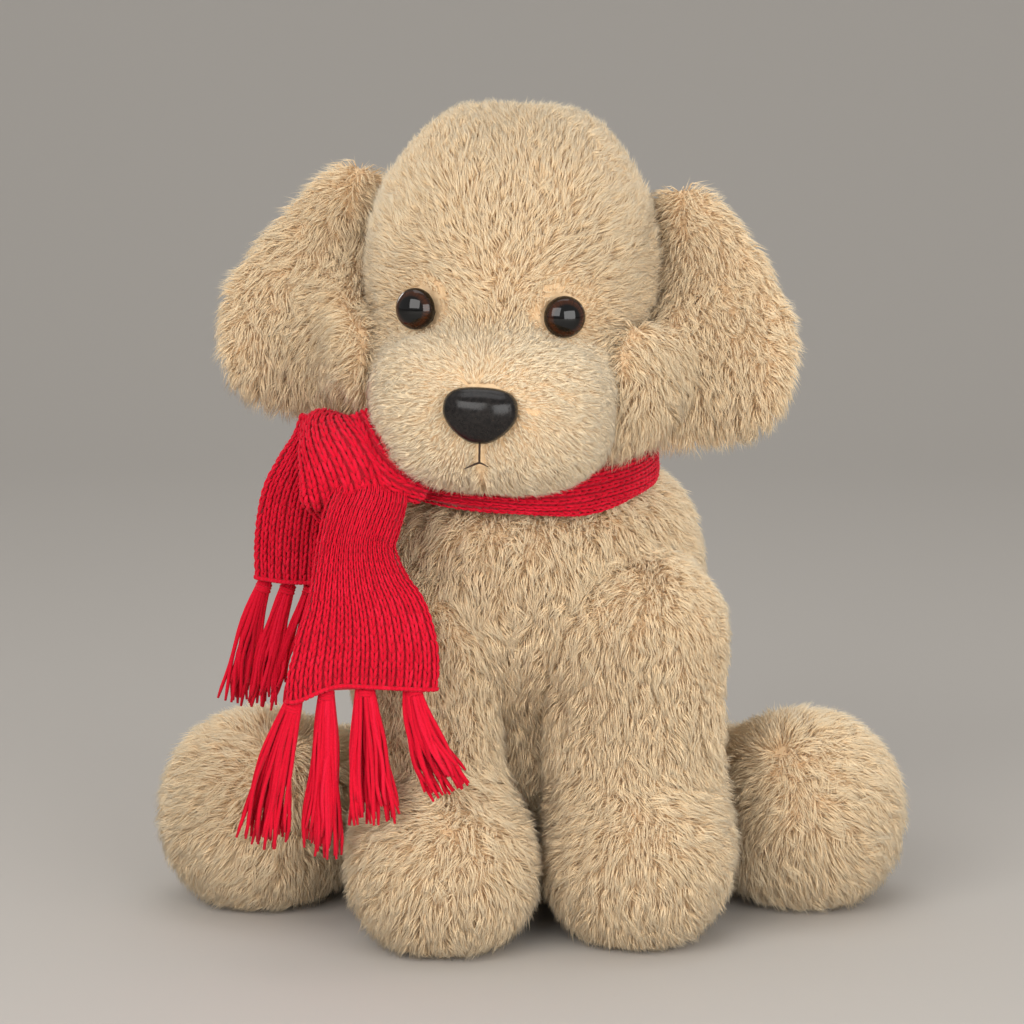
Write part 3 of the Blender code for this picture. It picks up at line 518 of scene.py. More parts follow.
def pile_material(name, root, mid, tip, dark, light, sheen, tint, rough=0.62):
    m, nt, p = new_mat(name)
    u, v = strand_uv(nt)
    # colour along each strand: the darker root is painted shade between the strands, the paler tip is painted highlight
    along = ramp(nt, [(0.0, root), (0.42, mid), (1.0, tip)])
    nt.links.new(v, along.inputs[0])
    tone = ramp(nt, [(0.0, dark), (0.5, (1, 1, 1)), (1.0, light)])
    nt.links.new(u, tone.inputs[0])
    nt.links.new(mix(nt, "MULTIPLY", along.outputs[0], tone.outputs[0], 1.0), p.inputs["Base Color"])
    p.inputs["Roughness"].default_value = rough
    p.inputs["Specular IOR Level"].default_value = 0.25
    p.inputs["Sheen Weight"].default_value = sheen
    p.inputs["Sheen Roughness"].default_value = 0.4
    p.inputs["Sheen Tint"].default_value = (*tint, 1)
    MAT[name] = m
    return m


def lin(r, g, b):
    return tuple(((c / 255) / 12.92 if c / 255 <= 0.04045 else ((c / 255 + 0.055) / 1.055) ** 2.4) for c in (r, g, b))


# each pile's root colour is darker and its tip colour paler: painted shade at the roots, painted highlight at the tips
pile_material("pile", lin(222, 187, 143), lin(241, 213, 172), lin(253, 237, 206), (0.92, 0.9, 0.87), (1.06, 1.05, 1.03), 0.2, (1.0, 0.94, 0.84))
pile_material("pile_pale", lin(234, 202, 162), lin(248, 226, 190), lin(255, 243, 218), (0.93, 0.91, 0.88), (1.05, 1.04, 1.02), 0.2, (1.0, 0.94, 0.86))
pile_material("wool_fuzz", lin(170, 8, 34), lin(208, 14, 46), lin(226, 36, 66), (0.85, 0.85, 0.85), (1.1, 1.05, 1.05), 0.15, (1.0, 0.4, 0.45), 0.85)

m, nt, p = new_mat("skin")
geo = nt.nodes.new("ShaderNodeTexCoord")
n1 = nt.nodes.new("ShaderNodeTexNoise")
n1.inputs["Scale"].default_value = 420
n1.inputs["Detail"].default_value = 4
nt.links.new(geo.outputs["Object"], n1.inputs["Vector"])
# the skin is coloured darker than the pile: painted shade in the gaps between the strands
r1 = ramp(nt, [(0.3, lin(214, 180, 138)), (0.7, lin(232, 202, 162))])
nt.links.new(n1.outputs["Fac"], r1.inputs[0])
nt.links.new(r1.outputs[0], p.inputs["Base Color"])
bump = nt.nodes.new("ShaderNodeBump")
bump.inputs["Strength"].default_value = 0.6
bump.inputs["Distance"].default_value = 0.0006
nt.links.new(n1.outputs["Fac"], bump.inputs["Height"])
nt.links.new(bump.outputs[0], p.inputs["Normal"])
p.inputs["Roughness"].default_value = 0.95
p.inputs["Sheen Weight"].default_value = 0.3
MAT["skin"] = m

# knitting yarn: plies twisted along each stitch, with a little colour drift
m, nt, p = new_mat("yarn")
u, v = strand_uv(nt)
tone = ramp(nt, [(0.0, lin(182, 6, 34)), (0.5, lin(212, 14, 44)), (1.0, lin(226, 26, 58))])
nt.links.new(u, tone.inputs[0])
obj_co = nt.nodes.new("ShaderNodeTexCoord")
n2 = nt.nodes.new("ShaderNodeTexNoise")
n2.inputs["Scale"].default_value = 1500
n2.inputs["Detail"].default_value = 3
nt.links.new(obj_co.outputs["Object"], n2.inputs["Vector"])
shade = ramp(nt, [(0.3, (0.86, 0.84, 0.85)), (0.65, (1, 1, 1))])
nt.links.new(n2.outputs["Fac"], shade.inputs[0])
nt.links.new(mix(nt, "MULTIPLY", tone.outputs[0], shade.outputs[0], 0.8), p.inputs["Base Color"])
bump = nt.nodes.new("ShaderNodeBump")
bump.inputs["Strength"].default_value = 0.7
bump.inputs["Distance"].default_value = 0.0004
nt.links.new(n2.outputs["Fac"], bump.inputs["Height"])
nt.links.new(bump.outputs[0], p.inputs["Normal"])
p.inputs["Roughness"].default_value = 0.85
p.inputs["Specular IOR Level"].default_value = 0.12
p.inputs["Sheen Weight"].default_value = 0.2
p.inputs["Sheen Tint"].default_value = (1.0, 0.35, 0.4, 1)
p.inputs["Sheen Roughness"].default_value = 0.45
MAT["yarn"] = m

# the core stands for the yarn under the stitches; its darker red than the yarn is painted shade in the gaps between the
# stitch legs
m, nt, p = new_mat("yarn_core")
p.inputs["Base Color"].default_value = (*lin(190, 8, 38), 1)
p.inputs["Roughness"].default_value = 0.95
p.inputs["Sheen Weight"].default_value = 0.2
MAT["yarn_core"] = m

m, nt, p = new_mat("eye_glass")
u, v = strand_uv(nt)
rings = ramp(nt, [(0.0, (0.002, 0.002, 0.002)), (0.60, (0.002, 0.002, 0.002)), (0.66, lin(44, 22, 11)), (0.80, lin(62, 32, 15)), (0.92, lin(26, 13, 7)), (1.0, (0.004, 0.003, 0.002))])
nt.links.new(v, rings.inputs[0])
n3 = nt.nodes.new("ShaderNodeTexNoise")
n3.inputs["Scale"].default_value = 60
cmb = nt.nodes.new("ShaderNodeCombineXYZ")
nt.links.new(u, cmb.inputs[0])
nt.links.new(cmb.outputs[0], n3.inputs["Vector"])
streak = ramp(nt, [(0.35, (0.5, 0.5, 0.5)), (0.65, (1.2, 1.15, 1.1))])
nt.links.new(n3.outputs["Fac"], streak.inputs[0])
nt.links.new(mix(nt, "MULTIPLY", rings.outputs[0], streak.outputs[0], 0.9), p.inputs["Base Color"])
p.inputs["Roughness"].default_value = 0.05
p.inputs["Specular IOR Level"].default_value = 0.42
MAT["eye_glass"] = m

m, nt, p = new_mat("nose_moulded")
tc = nt.nodes.new("ShaderNodeTexCoord")
n4 = nt.nodes.new("ShaderNodeTexNoise")
n4.inputs["Scale"].default_value = 900
nt.links.new(tc.outputs["Object"], n4.inputs["Vector"])
r4 = ramp(nt, [(0.35, (0.006, 0.005, 0.005)), (0.7, (0.016, 0.013, 0.012))])
nt.links.new(n4.outputs["Fac"], r4.inputs[0])
nt.links.new(r4.outputs[0], p.inputs["Base Color"])
bump = nt.nodes.new("ShaderNodeBump")
bump.inputs["Strength"].default_value = 0.12
bump.inputs["Distance"].default_value = 0.0002
nt.links.new(n4.outputs["Fac"], bump.inputs["Height"])
nt.links.new(bump.outputs[0], p.inputs["Normal"])
p.inputs["Roughness"].default_value = 0.22
p.inputs["Specular IOR Level"].default_value = 0.3
MAT["nose_moulded"] = m

m, nt, p = new_mat("thread_dark")
tc = nt.nodes.new("ShaderNodeTexCoord")
n5 = nt.nodes.new("ShaderNodeTexNoise")
n5.inputs["Scale"].default_value = 2500
nt.links.new(tc.outputs["Object"], n5.inputs["Vector"])
r5 = ramp(nt, [(0.3, lin(34, 22, 14)), (0.7, lin(72, 48, 32))])
nt.links.new(n5.outputs["Fac"], r5.inputs[0])
nt.links.new(r5.outputs[0], p.inputs["Base Color"])
p.inputs["Roughness"].default_value = 0.8
MAT["thread_dark"] = m


# ------------------------------------------------------------------ skins of each body
def head_seams(P):
    q = world_to_head(P)
    mid = np.exp(-(q[:, 0] / 2.5) ** 2) * (q[:, 2] > 40) * 0.5
    edge = np.exp(-((np.abs(skull(q)) + np.abs(muzzle_rule(q))) / 4.0) ** 2) * (q[:, 1] < -20)
    return np.maximum(mid, edge)


def torso_seams(P):
    return np.exp(-((P[:, 0] + 5.5) / 2.5) ** 2) * (P[:, 1] > 20)


skin("head_skin", "head", head, (0, -14, 38), (0, -14, 38), 130, 84, 3.0, ["head_left_panel", "head_right_panel", "muzzle_panel", "head_fill"], head_to_world, head_seams)
skin("torso_skin", "torso", torso_d, (-2, 26, 84), (-2, 26, 84), 110, 80, 4.5, ["torso_left_panel", "torso_right_panel", "seat_panel", "torso_fill", "back_closing_thread"], None, torso_seams)
skin("left_foreleg_skin", "left_foreleg", foreleg["left"], (32, -34, 26), SL, 60, 56, 4.0, ["left_foreleg_shell", "left_foreleg_fill"])
skin("right_foreleg_skin", "right_foreleg", foreleg["right"], (-34, -42, 27), SR, 60, 56, 4.0, ["right_foreleg_shell", "right_foreleg_fill"])
skin("left_hindleg_skin", "left_hindleg", hindleg["left"], (86, 12, 30), HL, 60, 50, 4.0, ["left_hindleg_shell", "left_hindleg_fill"])
skin("right_hindleg_skin", "right_hindleg", hindleg["right"], (-90, 12, 30), HR, 60, 50, 4.0, ["right_hindleg_shell", "right_hindleg_fill"])
skin("tail_skin", "tail", tail, (7, 124, 19), TAIL_ROOT, 40, 36, 3.5, ["tail_shell", "tail_fill"])

# ears: pads cut to the pattern, thickest in the middle, cupped a little towards the cheek
EAR = np.array([(-12.0, 74), (-6, 82.0), (3, 85), (12, 83.5), (21, 78.5), (29.5, 70), (37, 57.5), (42, 44), (44.5, 31), (43.5, 19), (38, 10),
                (29, 5.5), (17, 3.0), (4, 2.0), (-8.0, 3.0), (-15.5, 8), (-17.0, 18), (-15.0, 31), (-12.5, 46), (-12.0, 61)], float)
EAR_SLOPE = {"left": 10.0, "right": 12.5}        # each ear's outer shoulder falls away by this much
EAR_REACH = {"left": 1.8, "right": -1.6}
EAR_AXIS = np.array([52.6, 8.0])
EAR_TURN = {"left": 17.0, "right": 6.0}
EAR_DROP = {"left": -2.0, "right": 0.0}


def closed_curve(points, n):
    """Smooth closed curve through points, evenly sampled."""
    k = len(points)
    t = np.linspace(0, k, n, endpoint=False)
    i = np.floor(t).astype(int)
    f = (t - i)[:, None]
    p0, p1, p2, p3 = (points[(i + o) % k] for o in (-1, 0, 1, 2))
    return 0.5 * (2 * p1 + (p2 - p0) * f + (2 * p0 - 5 * p1 + 4 * p2 - p3) * f ** 2 + (3 * p1 - p0 - 3 * p2 + p3) * f ** 3)


def ear_frame(who):
    side = 1 if who == "left" else -1
    turn = rot("Z", -side * EAR_TURN[who])

    def to_world(q):
        return head_to_world(np.array([side * EAR_AXIS[0], EAR_AXIS[1], EAR_DROP[who]]) + q @ turn.T)

    def back(p):
        return (world_to_head(p) - np.array([side * EAR_AXIS[0], EAR_AXIS[1], EAR_DROP[who]])) @ turn

    return side, to_world, back


def ear_fold(who):
    """The line along the ear's sewn edge between the head and the ear: the two bodies and the line's ends, in metres.
    """
    side, to_world, _ = ear_frame(who)
    ends = to_world(np.array([[side * -13.0, 0, 40.0], [side * 11.0, 0, 40.0]]))
    ends = (ends + SHIFT) * MM
    return ("head", f"{who}_ear", tuple(ends[0]), tuple(ends[1]))


def attach(obj, body, bend=None):
    if bend:
        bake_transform(obj)
    else:
        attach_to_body(obj, body)


def ear_bend(e, z):
    """How far the pad's middle surface leans forward: the lower inner corner laps over the cheek."""
    return -13.0 * smooth(z, 66, 14) - 29.0 * smooth(z, 60, 16) * smooth(e, 20, -16) - 3.0 * smooth(e, 24, 46) * smooth(z, 75, 20)


def ear_skin(who):
    side, to_world, _ = ear_frame(who)
    rim = EAR.copy()
    rim[:, 1] -= EAR_SLOPE[who] * smooth(EAR[:, 0], 2, 27) * smooth(EAR[:, 1], 34, 64) + 2.0 * smooth(EAR[:, 1], 70, 84)
    rim[:, 0] += EAR_REACH[who] * smooth(EAR[:, 0], 32, 43) * smooth(EAR[:, 1], 66, 30)
    rim = closed_curve(rim, 72)
    c = np.array([16.0, 38.0])
    rows = []
    rhos = [1.0, 0.985, 0.94, 0.86, 0.74, 0.6, 0.45, 0.3, 0.15]
    for rho in rhos:
        e, z = (c + (rim - c) * rho * 0.97).T
        t = 5.6 * np.sqrt(max(0.0, 1 - rho ** 3.2)) * (0.75 + 0.25 * smooth(e, -8, 12))
        rows.append((e, z, t))

    def sheet(e, z, t, sgn):
        y, h = ear_bend(e, z), 0.5
        ge = (ear_bend(e + h, z) - ear_bend(e - h, z)) / (2 * h)
        gz = (ear_bend(e, z + h) - ear_bend(e, z - h)) / (2 * h)
        nrm = unit(np.stack([-side * ge, np.ones_like(e), -gz], 1))
        q = np.stack([side * e, y, z], 1) + sgn * t[:, None] * nrm
        w = world_to_head(to_world(q))
        want = 1.5 + (2 * t + 0.6 if sgn < 0 else 0)
        for _ in range(3):                       # lies on the cheek instead of in it
            d = skull(w)
            g = unit(np.stack([skull(w + dv) - d for dv in np.eye(3) * 0.2], 1))
            push = np.clip(want - d, 0, None) * smooth(z, 54, 40)
            w = w + g * push[:, None]
        return head_to_world(w)

    verts = []
    n = len(rim)
    for sgn in (-1, 1):
        for k, (e, z, t) in enumerate(rows):
            if sgn == 1 and k == 0:
                continue
            verts.append(sheet(e, z, t, sgn))
    v = np.concatenate(verts + [sheet(c[:1], c[1:], np.array([5.6]), s_) for s_ in (-1, 1)])
    K = len(rows)
    j = np.arange(n)
    jn = (j + 1) % n
    front = [k * n for k in range(K)]
    rear = [0] + [(K + k) * n for k in range(K - 1)]
    q = []
    for k in range(K - 1):
        a, b = front[k], front[k + 1]
        q.append(np.stack([a + j, a + jn, b + jn, b + j], 1))
        a, b = rear[k], rear[k + 1]
        q.append(np.stack([a + jn, a + j, b + j, b + jn], 1))
    tri = [np.stack([front[-1] + j, front[-1] + jn, np.full(n, len(v) - 2)], 1), np.stack([rear[-1] + jn, rear[-1] + j, np.full(n, len(v) - 1)], 1)]
    q, tri = np.concatenate(q), np.concatenate(tri)
    # outward check: the front face must look towards -Y
    a, b, cc = v[tri[0, 0]], v[tri[0, 1]], v[tri[0, 2]]
    if np.cross(b - a, cc - a)[1] > 0:
        q, tri = q[:, ::-1], tri[:, ::-1]
    name = f"{who}_ear_skin"
    obj = build(name, v, [q, tri], None)
    group = obj.vertex_groups.new(name="seams")
    group.add([int(i) for i in range(n)], 1.0, "REPLACE")
    SKINS[name] = dict(obj=obj, body=f"{who}_ear", nodes=[f"{who}_ear_front_panel", f"{who}_ear_back_panel"], start=v, bend=ear_fold(who))


ear_skin("left")
ear_skin("right")
inflate()
for s in SKINS.values():
    attach(s["obj"], s["body"], s.get("bend"))
    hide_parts(*s["nodes"])


# ------------------------------------------------------------------ what the pile must stay out of
def end_sheet(path, half, thick):
    """Distance-like rule for a hanging scarf end: path points top to bottom, half widths, half thickness."""
    path = np.array(path, float)
    half = np.array(half, float)

    def d(p):
        best = np.full(len(p), 1e9)
        for i in range(len(path) - 1):
            a, b = path[i], path[i + 1]
            ab = b - a
            t = np.clip((p - a) @ ab / (ab @ ab), 0, 1)
            q = p - a - t[:, None] * ab
            n = unit(np.cross(ab, X)[None])[0]
            off = np.abs(q @ n)
            rest = np.linalg.norm(q - (q @ n)[:, None] * n, axis=1)
            w = half[i] + (half[i + 1] - half[i]) * t
            best = np.minimum(best, np.hypot(np.maximum(rest - w + thick, 0), off) - thick)
        return best

    return d


FRONT_PATH = [(-53.3, -44.5, 152.5), (-53.8, -49.5, 148.3), (-56.0, -54.3, 142.5), (-57.8, -57.0, 136.2), (-58.0, -58.8, 130), (-57.2, -60.5, 122.3),
              (-55.6, -62.3, 113), (-55.0, -63.8, 103.7), (-55.3, -64.8, 96.8), (-55.6, -65, 91.3)]
FRONT_HALF = [10.2, 10.9, 11.3, 11.2, 12.5, 15.2, 19.4, 21.7, 22.4, 22.0]
FRONT_THICK = [6.0, 5.6, 5.0, 4.6, 4.2, 3.8, 3.4, 3.1, 2.9, 2.6]
REAR_PATH = [(-69, -31, 172), (-71, -31.5, 163), (-74.6, -31, 154.5), (-77.6, -30, 146), (-79.4, -28.5, 136), (-80.3, -27.5, 126), (-80.6, -27, 118.5)]
REAR_HALF = [8.3, 9.3, 10.6, 11.8, 12.0, 11.8, 11.2]
front_rule, rear_rule = end_sheet(FRONT_PATH, FRONT_HALF, 3.8), end_sheet(REAR_PATH, REAR_HALF, 3.6)


def scarf_rule(p):
    return np.minimum(np.minimum(band(p), np.minimum(knot_d(p), roll_d(p))), np.minimum(front_rule(p), rear_rule(p)))


EYES = []
for side in (1, -1):
    out = unit(np.array([[side * math.sin(math.radians(EYE_TURN)), -math.cos(math.radians(EYE_TURN)), 0.03]]))[0]
    EYES.append((head_to_world(np.array([[side * EYE_X - 1.4, EYE_Y, EYE_Z + 0.6]]))[0], HEAD_R @ out))
NOSE_W = head_to_world(NOSE[None])[0]
NOSE_OUT = HEAD_R @ np.array([0, -1.0, 0])


# ------------------------------------------------------------------ pile
rng = np.random.default_rng(20261116)
FUR_TOTAL = 0
DENSITY = 1.3


def pile(name, body, P, F, density, length, flow, lift=(62, 22), mat="pile", radius=0.2, clump_area=9.0, clump=0.55,
         messy=0.35, keep=None, avoid=scarf_rule, tone_fn=None, bend=None, under=1.5):
    """Grows closed, tapering tufts over a skin. length(p) and flow(p, n) work on arrays in layout mm."""
    global FUR_TOTAL
    a, b, c = P[F[:, 0]], P[F[:, 1]], P[F[:, 2]]
    cr = np.cross(b - a, c - a)
    area = np.linalg.norm(cr, axis=1) / 2
    vn = np.zeros_like(P)
    for k in range(3):
        np.add.at(vn, F[:, k], cr)
    vn = unit(vn)
    n = int(area.sum() * density * DENSITY)
    pick = np.searchsorted(np.cumsum(area) / area.sum(), rng.random(n))
    pick = np.minimum(pick, len(F) - 1)
    r1, r2 = np.sqrt(rng.random(n))[:, None], rng.random(n)[:, None]
    w0, w1, w2 = 1 - r1, r1 * (1 - r2), r1 * r2
    f = F[pick]
    root = P[f[:, 0]] * w0 + P[f[:, 1]] * w1 + P[f[:, 2]] * w2
    nrm = unit(vn[f[:, 0]] * w0 + vn[f[:, 1]] * w1 + vn[f[:, 2]] * w2)
    if keep is not None:
        ok = keep(root, nrm)
        root, nrm = root[ok], nrm[ok]
    n = len(root)
    L = length(root) * rng.uniform(0.78, 1.15, n)
    d = flow(root, nrm)
    d = unit(d - (d * nrm).sum(1, keepdims=True) * nrm + 1e-6)
    side = np.cross(nrm, d)
    # tufts: each strand leans towards its tuft's own direction and tip
    m = max(8, int(n / (clump_area * density * DENSITY)))
    centres = rng.choice(n, m, replace=False)
    tree = KDTree(m)
    for i, ci in enumerate(centres):
        tree.insert(root[ci], i)
    tree.balance()
    owner = np.fromiter((tree.find(r)[1] for r in root), int, n)
    swirl = wave_noise(root, 26, 5) * 0.42
    tuft_turn = rng.normal(0, messy, m)[owner]
    turn = swirl + tuft_turn + rng.normal(0, 0.15, n)
    d = d * np.cos(turn)[:, None] + side * np.sin(turn)[:, None]
    tuft_lift = rng.normal(0, 4.5, m)[owner]
    a0 = np.radians(np.clip(lift[0] + tuft_lift + rng.normal(0, 5, n), 15, 86))[:, None]
    a1 = np.radians(np.clip(lift[1] + tuft_lift + rng.normal(0, 7, n), 3, 75))[:, None]
    d0 = nrm * np.sin(a0) + d * np.cos(a0)
    d1 = nrm * np.sin(a1) + d * np.cos(a1)
    d1 = unit(d1 + np.array([0, 0, -0.10]))
    Lc = L[:, None]
    midp = root + d0 * Lc * 0.45
    tipp = midp + d1 * Lc * 0.55
    co = centres[owner]
    lean_m = midp[co] + (root - root[co]) * 0.8
    lean_t = tipp[co] + (root - root[co]) * 0.25
    k = clump * rng.uniform(0.5, 1.2, n)[:, None]
    midp = midp + (lean_m - midp) * k * 0.5
    tipp = tipp + (lean_t - tipp) * k
    # stay out of the knitting: shorten to the last free point
    free = np.ones(n)
    if avoid is not None:
        near = avoid(root) < 16
        idx = np.nonzero(near)[0]
        if len(idx):
            share = np.ones(len(idx))
            for s in (1.0, 0.8, 0.6, 0.4, 0.2):
                pt = np.where(s > 0.5, midp[idx] + (tipp[idx] - midp[idx]) * (s - 0.5) * 2, root[idx] + (midp[idx] - root[idx]) * s * 2)
                bad = avoid(pt) < 0.35
                share = np.where(bad, s - 0.2, share)
            free[idx] = np.clip(share, 0.0, 1.0)
    ok = free > 0.12
    root, midp, tipp, nrm, free, L, d = (x[ok] for x in (root, midp, tipp, nrm, free, L, d))
    short = free < 0.999
    fr = free[:, None]
    midp = np.where(short[:, None], root + (midp - root) * fr, midp)
    tipp = np.where(short[:, None], midp + (tipp - midp) * fr, tipp)
    n = len(root)
    base = root - nrm * 0.9
    for q in (midp, tipp):
        q[:, 2] = np.maximum(q[:, 2], 0.35)
    base[:, 2] = np.maximum(base[:, 2], 0.45)
    rad = radius * rng.uniform(0.75, 1.25, n)
    path = np.stack([base, midp, tipp], 1)
    up = unit(nrm + 0.3 * rng.normal(size=(n, 3)))
    tone = 0.5 + 0.16 * rng.normal(size=n) + 0.12 * wave_noise(root, 34, 9) + (0 if tone_fn is None else tone_fn(root))
    tone = np.clip(tone, 0.03, 0.97)
    made = []
    per_piece = 18500
    parts = max(1, math.ceil(n / per_piece))
    order = np.argsort(root[:, 2], kind="stable")
    for i, ids in enumerate(np.array_split(order, parts)):
        v, fc, uv = tubes(path[ids], np.stack([rad[ids], rad[ids] * 0.85, rad[ids] * 0], 1), up[ids], 3, True, 1.0, (tone[ids], np.array([0.0, 0.5, 1.0])))
        o = build(f"{name}_{i + 1}", v, fc, MAT[mat], uv)
        attach(o, body, bend)
        made.append(o)
    # soft short undercoat, straight and finer, that fills between the tufts
    m2 = int(area.sum() * under * DENSITY)
    pick = np.minimum(np.searchsorted(np.cumsum(area) / area.sum(), rng.random(m2)), len(F) - 1)
    r1, r2 = np.sqrt(rng.random(m2))[:, None], rng.random(m2)[:, None]
    w0, w1, w2 = 1 - r1, r1 * (1 - r2), r1 * r2
    f = F[pick]
    root = P[f[:, 0]] * w0 + P[f[:, 1]] * w1 + P[f[:, 2]] * w2
    nrm = unit(vn[f[:, 0]] * w0 + vn[f[:, 1]] * w1 + vn[f[:, 2]] * w2)
    if keep is not None:
        ok = keep(root, nrm)
        root, nrm = root[ok], nrm[ok]
    m2 = len(root)
    L = length(root) * rng.uniform(0.5, 0.82, m2)
    d = flow(root, nrm)
    d = unit(d - (d * nrm).sum(1, keepdims=True) * nrm + 1e-6)
    side = np.cross(nrm, d)
    turn = wave_noise(root, 26, 5) * 0.42 + rng.normal(0, 0.5, m2)
    d = d * np.cos(turn)[:, None] + side * np.sin(turn)[:, None]
    a0 = np.radians(np.clip((lift[0] + lift[1]) / 2 + rng.normal(0, 10, m2), 12, 80))[:, None]
    tipp = root + (nrm * np.sin(a0) + d * np.cos(a0)) * L[:, None]
    ok = np.ones(m2, bool)
    if avoid is not None:
        ok = (avoid(tipp) > 0.4) & (avoid(root) > 0.2)
    root, tipp, nrm = root[ok], tipp[ok], nrm[ok]
    m2 = len(root)
    base = root - nrm * 0.8
    tipp[:, 2] = np.maximum(tipp[:, 2], 0.35)
    base[:, 2] = np.maximum(base[:, 2], 0.45)
    tone = np.clip(0.58 + 0.14 * rng.normal(size=m2) + 0.12 * wave_noise(root, 34, 9), 0.03, 0.97)
    rad = np.full(m2, radius * 0.95) * rng.uniform(0.8, 1.2, m2)
    split = max(1, math.ceil(m2 / 30000))
    for i, ids in enumerate(np.array_split(np.argsort(root[:, 2], kind="stable"), split)):
        v, fc, uv = tubes(np.stack([base[ids], tipp[ids]], 1), np.stack([rad[ids], rad[ids] * 0], 1), unit(rng.normal(size=(len(ids), 3))), 3, True, 1.0,
                          (tone[ids], np.array([0.12, 0.95])))
        o = build(f"{name}_undercoat_{i + 1}", v, fc, MAT[mat], uv)
        attach(o, body, bend)
        made.append(o)
    FUR_TOTAL += n
    print("PILE", name, n, "strands", m2, "undercoat", parts, "pieces")
    return made


def arrays(name):
    v, f = SKINS[name]["rest"]
    return v / MM - SHIFT, f


DOWN = np.array([0, 0, -1.0])


def ring_of(p, c):
    return np.linalg.norm(p - c, axis=1)


# head
def head_length(p):
    q = world_to_head(p)
    mz = muzzle_rule(q)
    L = np.full(len(p), 8.2)
    L = L - 2.4 * smooth(mz, 2.5, 0.5) * (q[:, 1] < -30)        # shorter on the muzzle
    L = L - 1.8 * smooth(ring_of(q, NOSE), 26, 11)
    for c, _ in EYES:
        L = np.minimum(L, 3.4 + 4.6 * smooth(ring_of(p, c), 8.5, 19))
    L = L + 1.2 * smooth(q[:, 1], 0, 40)
    crown = np.hypot((np.abs(q[:, 0] - 3) - 33) / 16, (q[:, 2] - 88) / 18)      # the crown is a little rounder than the padding
    L = L - 2.4 * smooth(crown, 1.0, 0.2) * (q[:, 1] > -40)
    return L


def head_flow(p, n):
    q = world_to_head(p)
    radial = unit(q - (NOSE + np.array([0, 8, 3]))) @ HEAD_R.T
    w = smooth(q[:, 1], 0, 34)[:, None]
    d = unit(radial) * (1 - w) + DOWN * w
    side_w = smooth(np.abs(q[:, 0]), 22, 44)[:, None] * smooth(q[:, 2], 70, 20)[:, None]
    d = d + DOWN * side_w * 0.7
    for c, _ in EYES:
        away = p - c
        near = smooth(ring_of(p, c), 15, 7)[:, None]
        d = d * (1 - near) + unit(away) * near * 1.4
    line = np.abs(q[:, 0] - 0.2)
    split = smooth(line, 4.5, 0.5) * smooth(ring_of(q, NOSE + np.array([0, 4, -14])), 16, 10)
    d = d + (np.sign(q[:, 0] - 0.2) * split * 1.2)[:, None] * HEAD_R[:, 0]
    return d


def head_keep(p, n):
    q = world_to_head(p)
    ok = np.ones(len(p), bool)
    for c, out in EYES:
        r = p - c
        ax = r - (r @ out)[:, None] * out
        ok &= ~((np.linalg.norm(ax, axis=1) < EYE_R + 0.1) & (np.abs(r @ out) < 14))
    r = q - NOSE
    ok &= ~((np.hypot(r[:, 0] / 10.7, r[:, 2] / 8.0) < 1) & (np.abs(r[:, 1]) < 14))
    stem = (np.abs(q[:, 0] - 0.2) < 0.8) & (q[:, 2] < NOSE[2] - 6) & (q[:, 2] > NOSE[2] - 18.5) & (q[:, 1] < -50)
    ok &= ~stem
    ok &= ring_of(p, NECK) > 40.5
    return ok


hp, hf = arrays("head_skin")
muz = muzzle_rule(world_to_head(hp))
fade = np.random.default_rng(41).normal(0, 1.6, len(hf))
fm = muz[hf].mean(1) < 1.6 + fade
front = world_to_head(hp)[hf].mean(1)[:, 1] < -34
pale = fm & front
pile("muzzle_pile", "head", hp, hf[pale], 1.7, head_length, head_flow, (50, 18), "pile_pale", radius=0.13, clump_area=5.0, clump=0.34, messy=0.28, keep=head_keep, under=2.4)
pile("head_pile", "head", hp, hf[~pale], 1.2, head_length, head_flow, (56, 24), "pile", radius=0.15, clump_area=7.0, clump=0.38, messy=0.36, keep=head_keep, under=1.8)


# ears
def ear_fur(who):
    side, to_world, back = ear_frame(who)

    def flow(p, n):
        q = back(p)
        c = np.array([side * 4, 0, 68.0])
        rad = unit((q - c) * np.array([1, 0.2, 1]))
        d = rad * 0.9 + np.array([side * 0.2, 0, -0.95])
        return (d @ rot("Z", -side * EAR_TURN[who]).T) @ HEAD_R.T

    def length(p):
        q = back(p)
        return 8.6 + 1.6 * smooth(q[:, 2], 30, 5)

    P, F = arrays(f"{who}_ear_skin")
    pile(f"{who}_ear_pile", f"{who}_ear", P, F, 1.15, length, flow, (54, 22), "pile", radius=0.155, clump_area=8.0, clump=0.4, messy=0.36, bend=ear_fold(who),
         keep=lambda p, n: skull(world_to_head(p)) > -4)


ear_fur("left")
ear_fur("right")


def shoulder_cap(p):
    """Shorter pile on the outside of the shoulders, which keeps them from standing proud."""
    return smooth(np.abs(p[:, 0] + 4), 42, 58) * smooth(p[:, 2], 70, 90) * smooth(p[:, 2], 150, 125)


# torso
def torso_flow(p, n):
    out = np.stack([p[:, 0] + 4, np.zeros(len(p)), np.zeros(len(p))], 1) / 60
    d = DOWN + out * 0.7
    chest = smooth(p[:, 1], 0, -25)[:, None] * smooth(p[:, 2], 70, 100)[:, None]
    d = d + chest * np.stack([np.sign(p[:, 0] + 8) * -0.35, np.zeros(len(p)), np.zeros(len(p))], 1)
    return d


def deep_in(rules, depth):
    def ok(p, n):
        good = np.ones(len(p), bool)
        for r in rules:
            good &= r(p) > -depth
        return good
    return ok


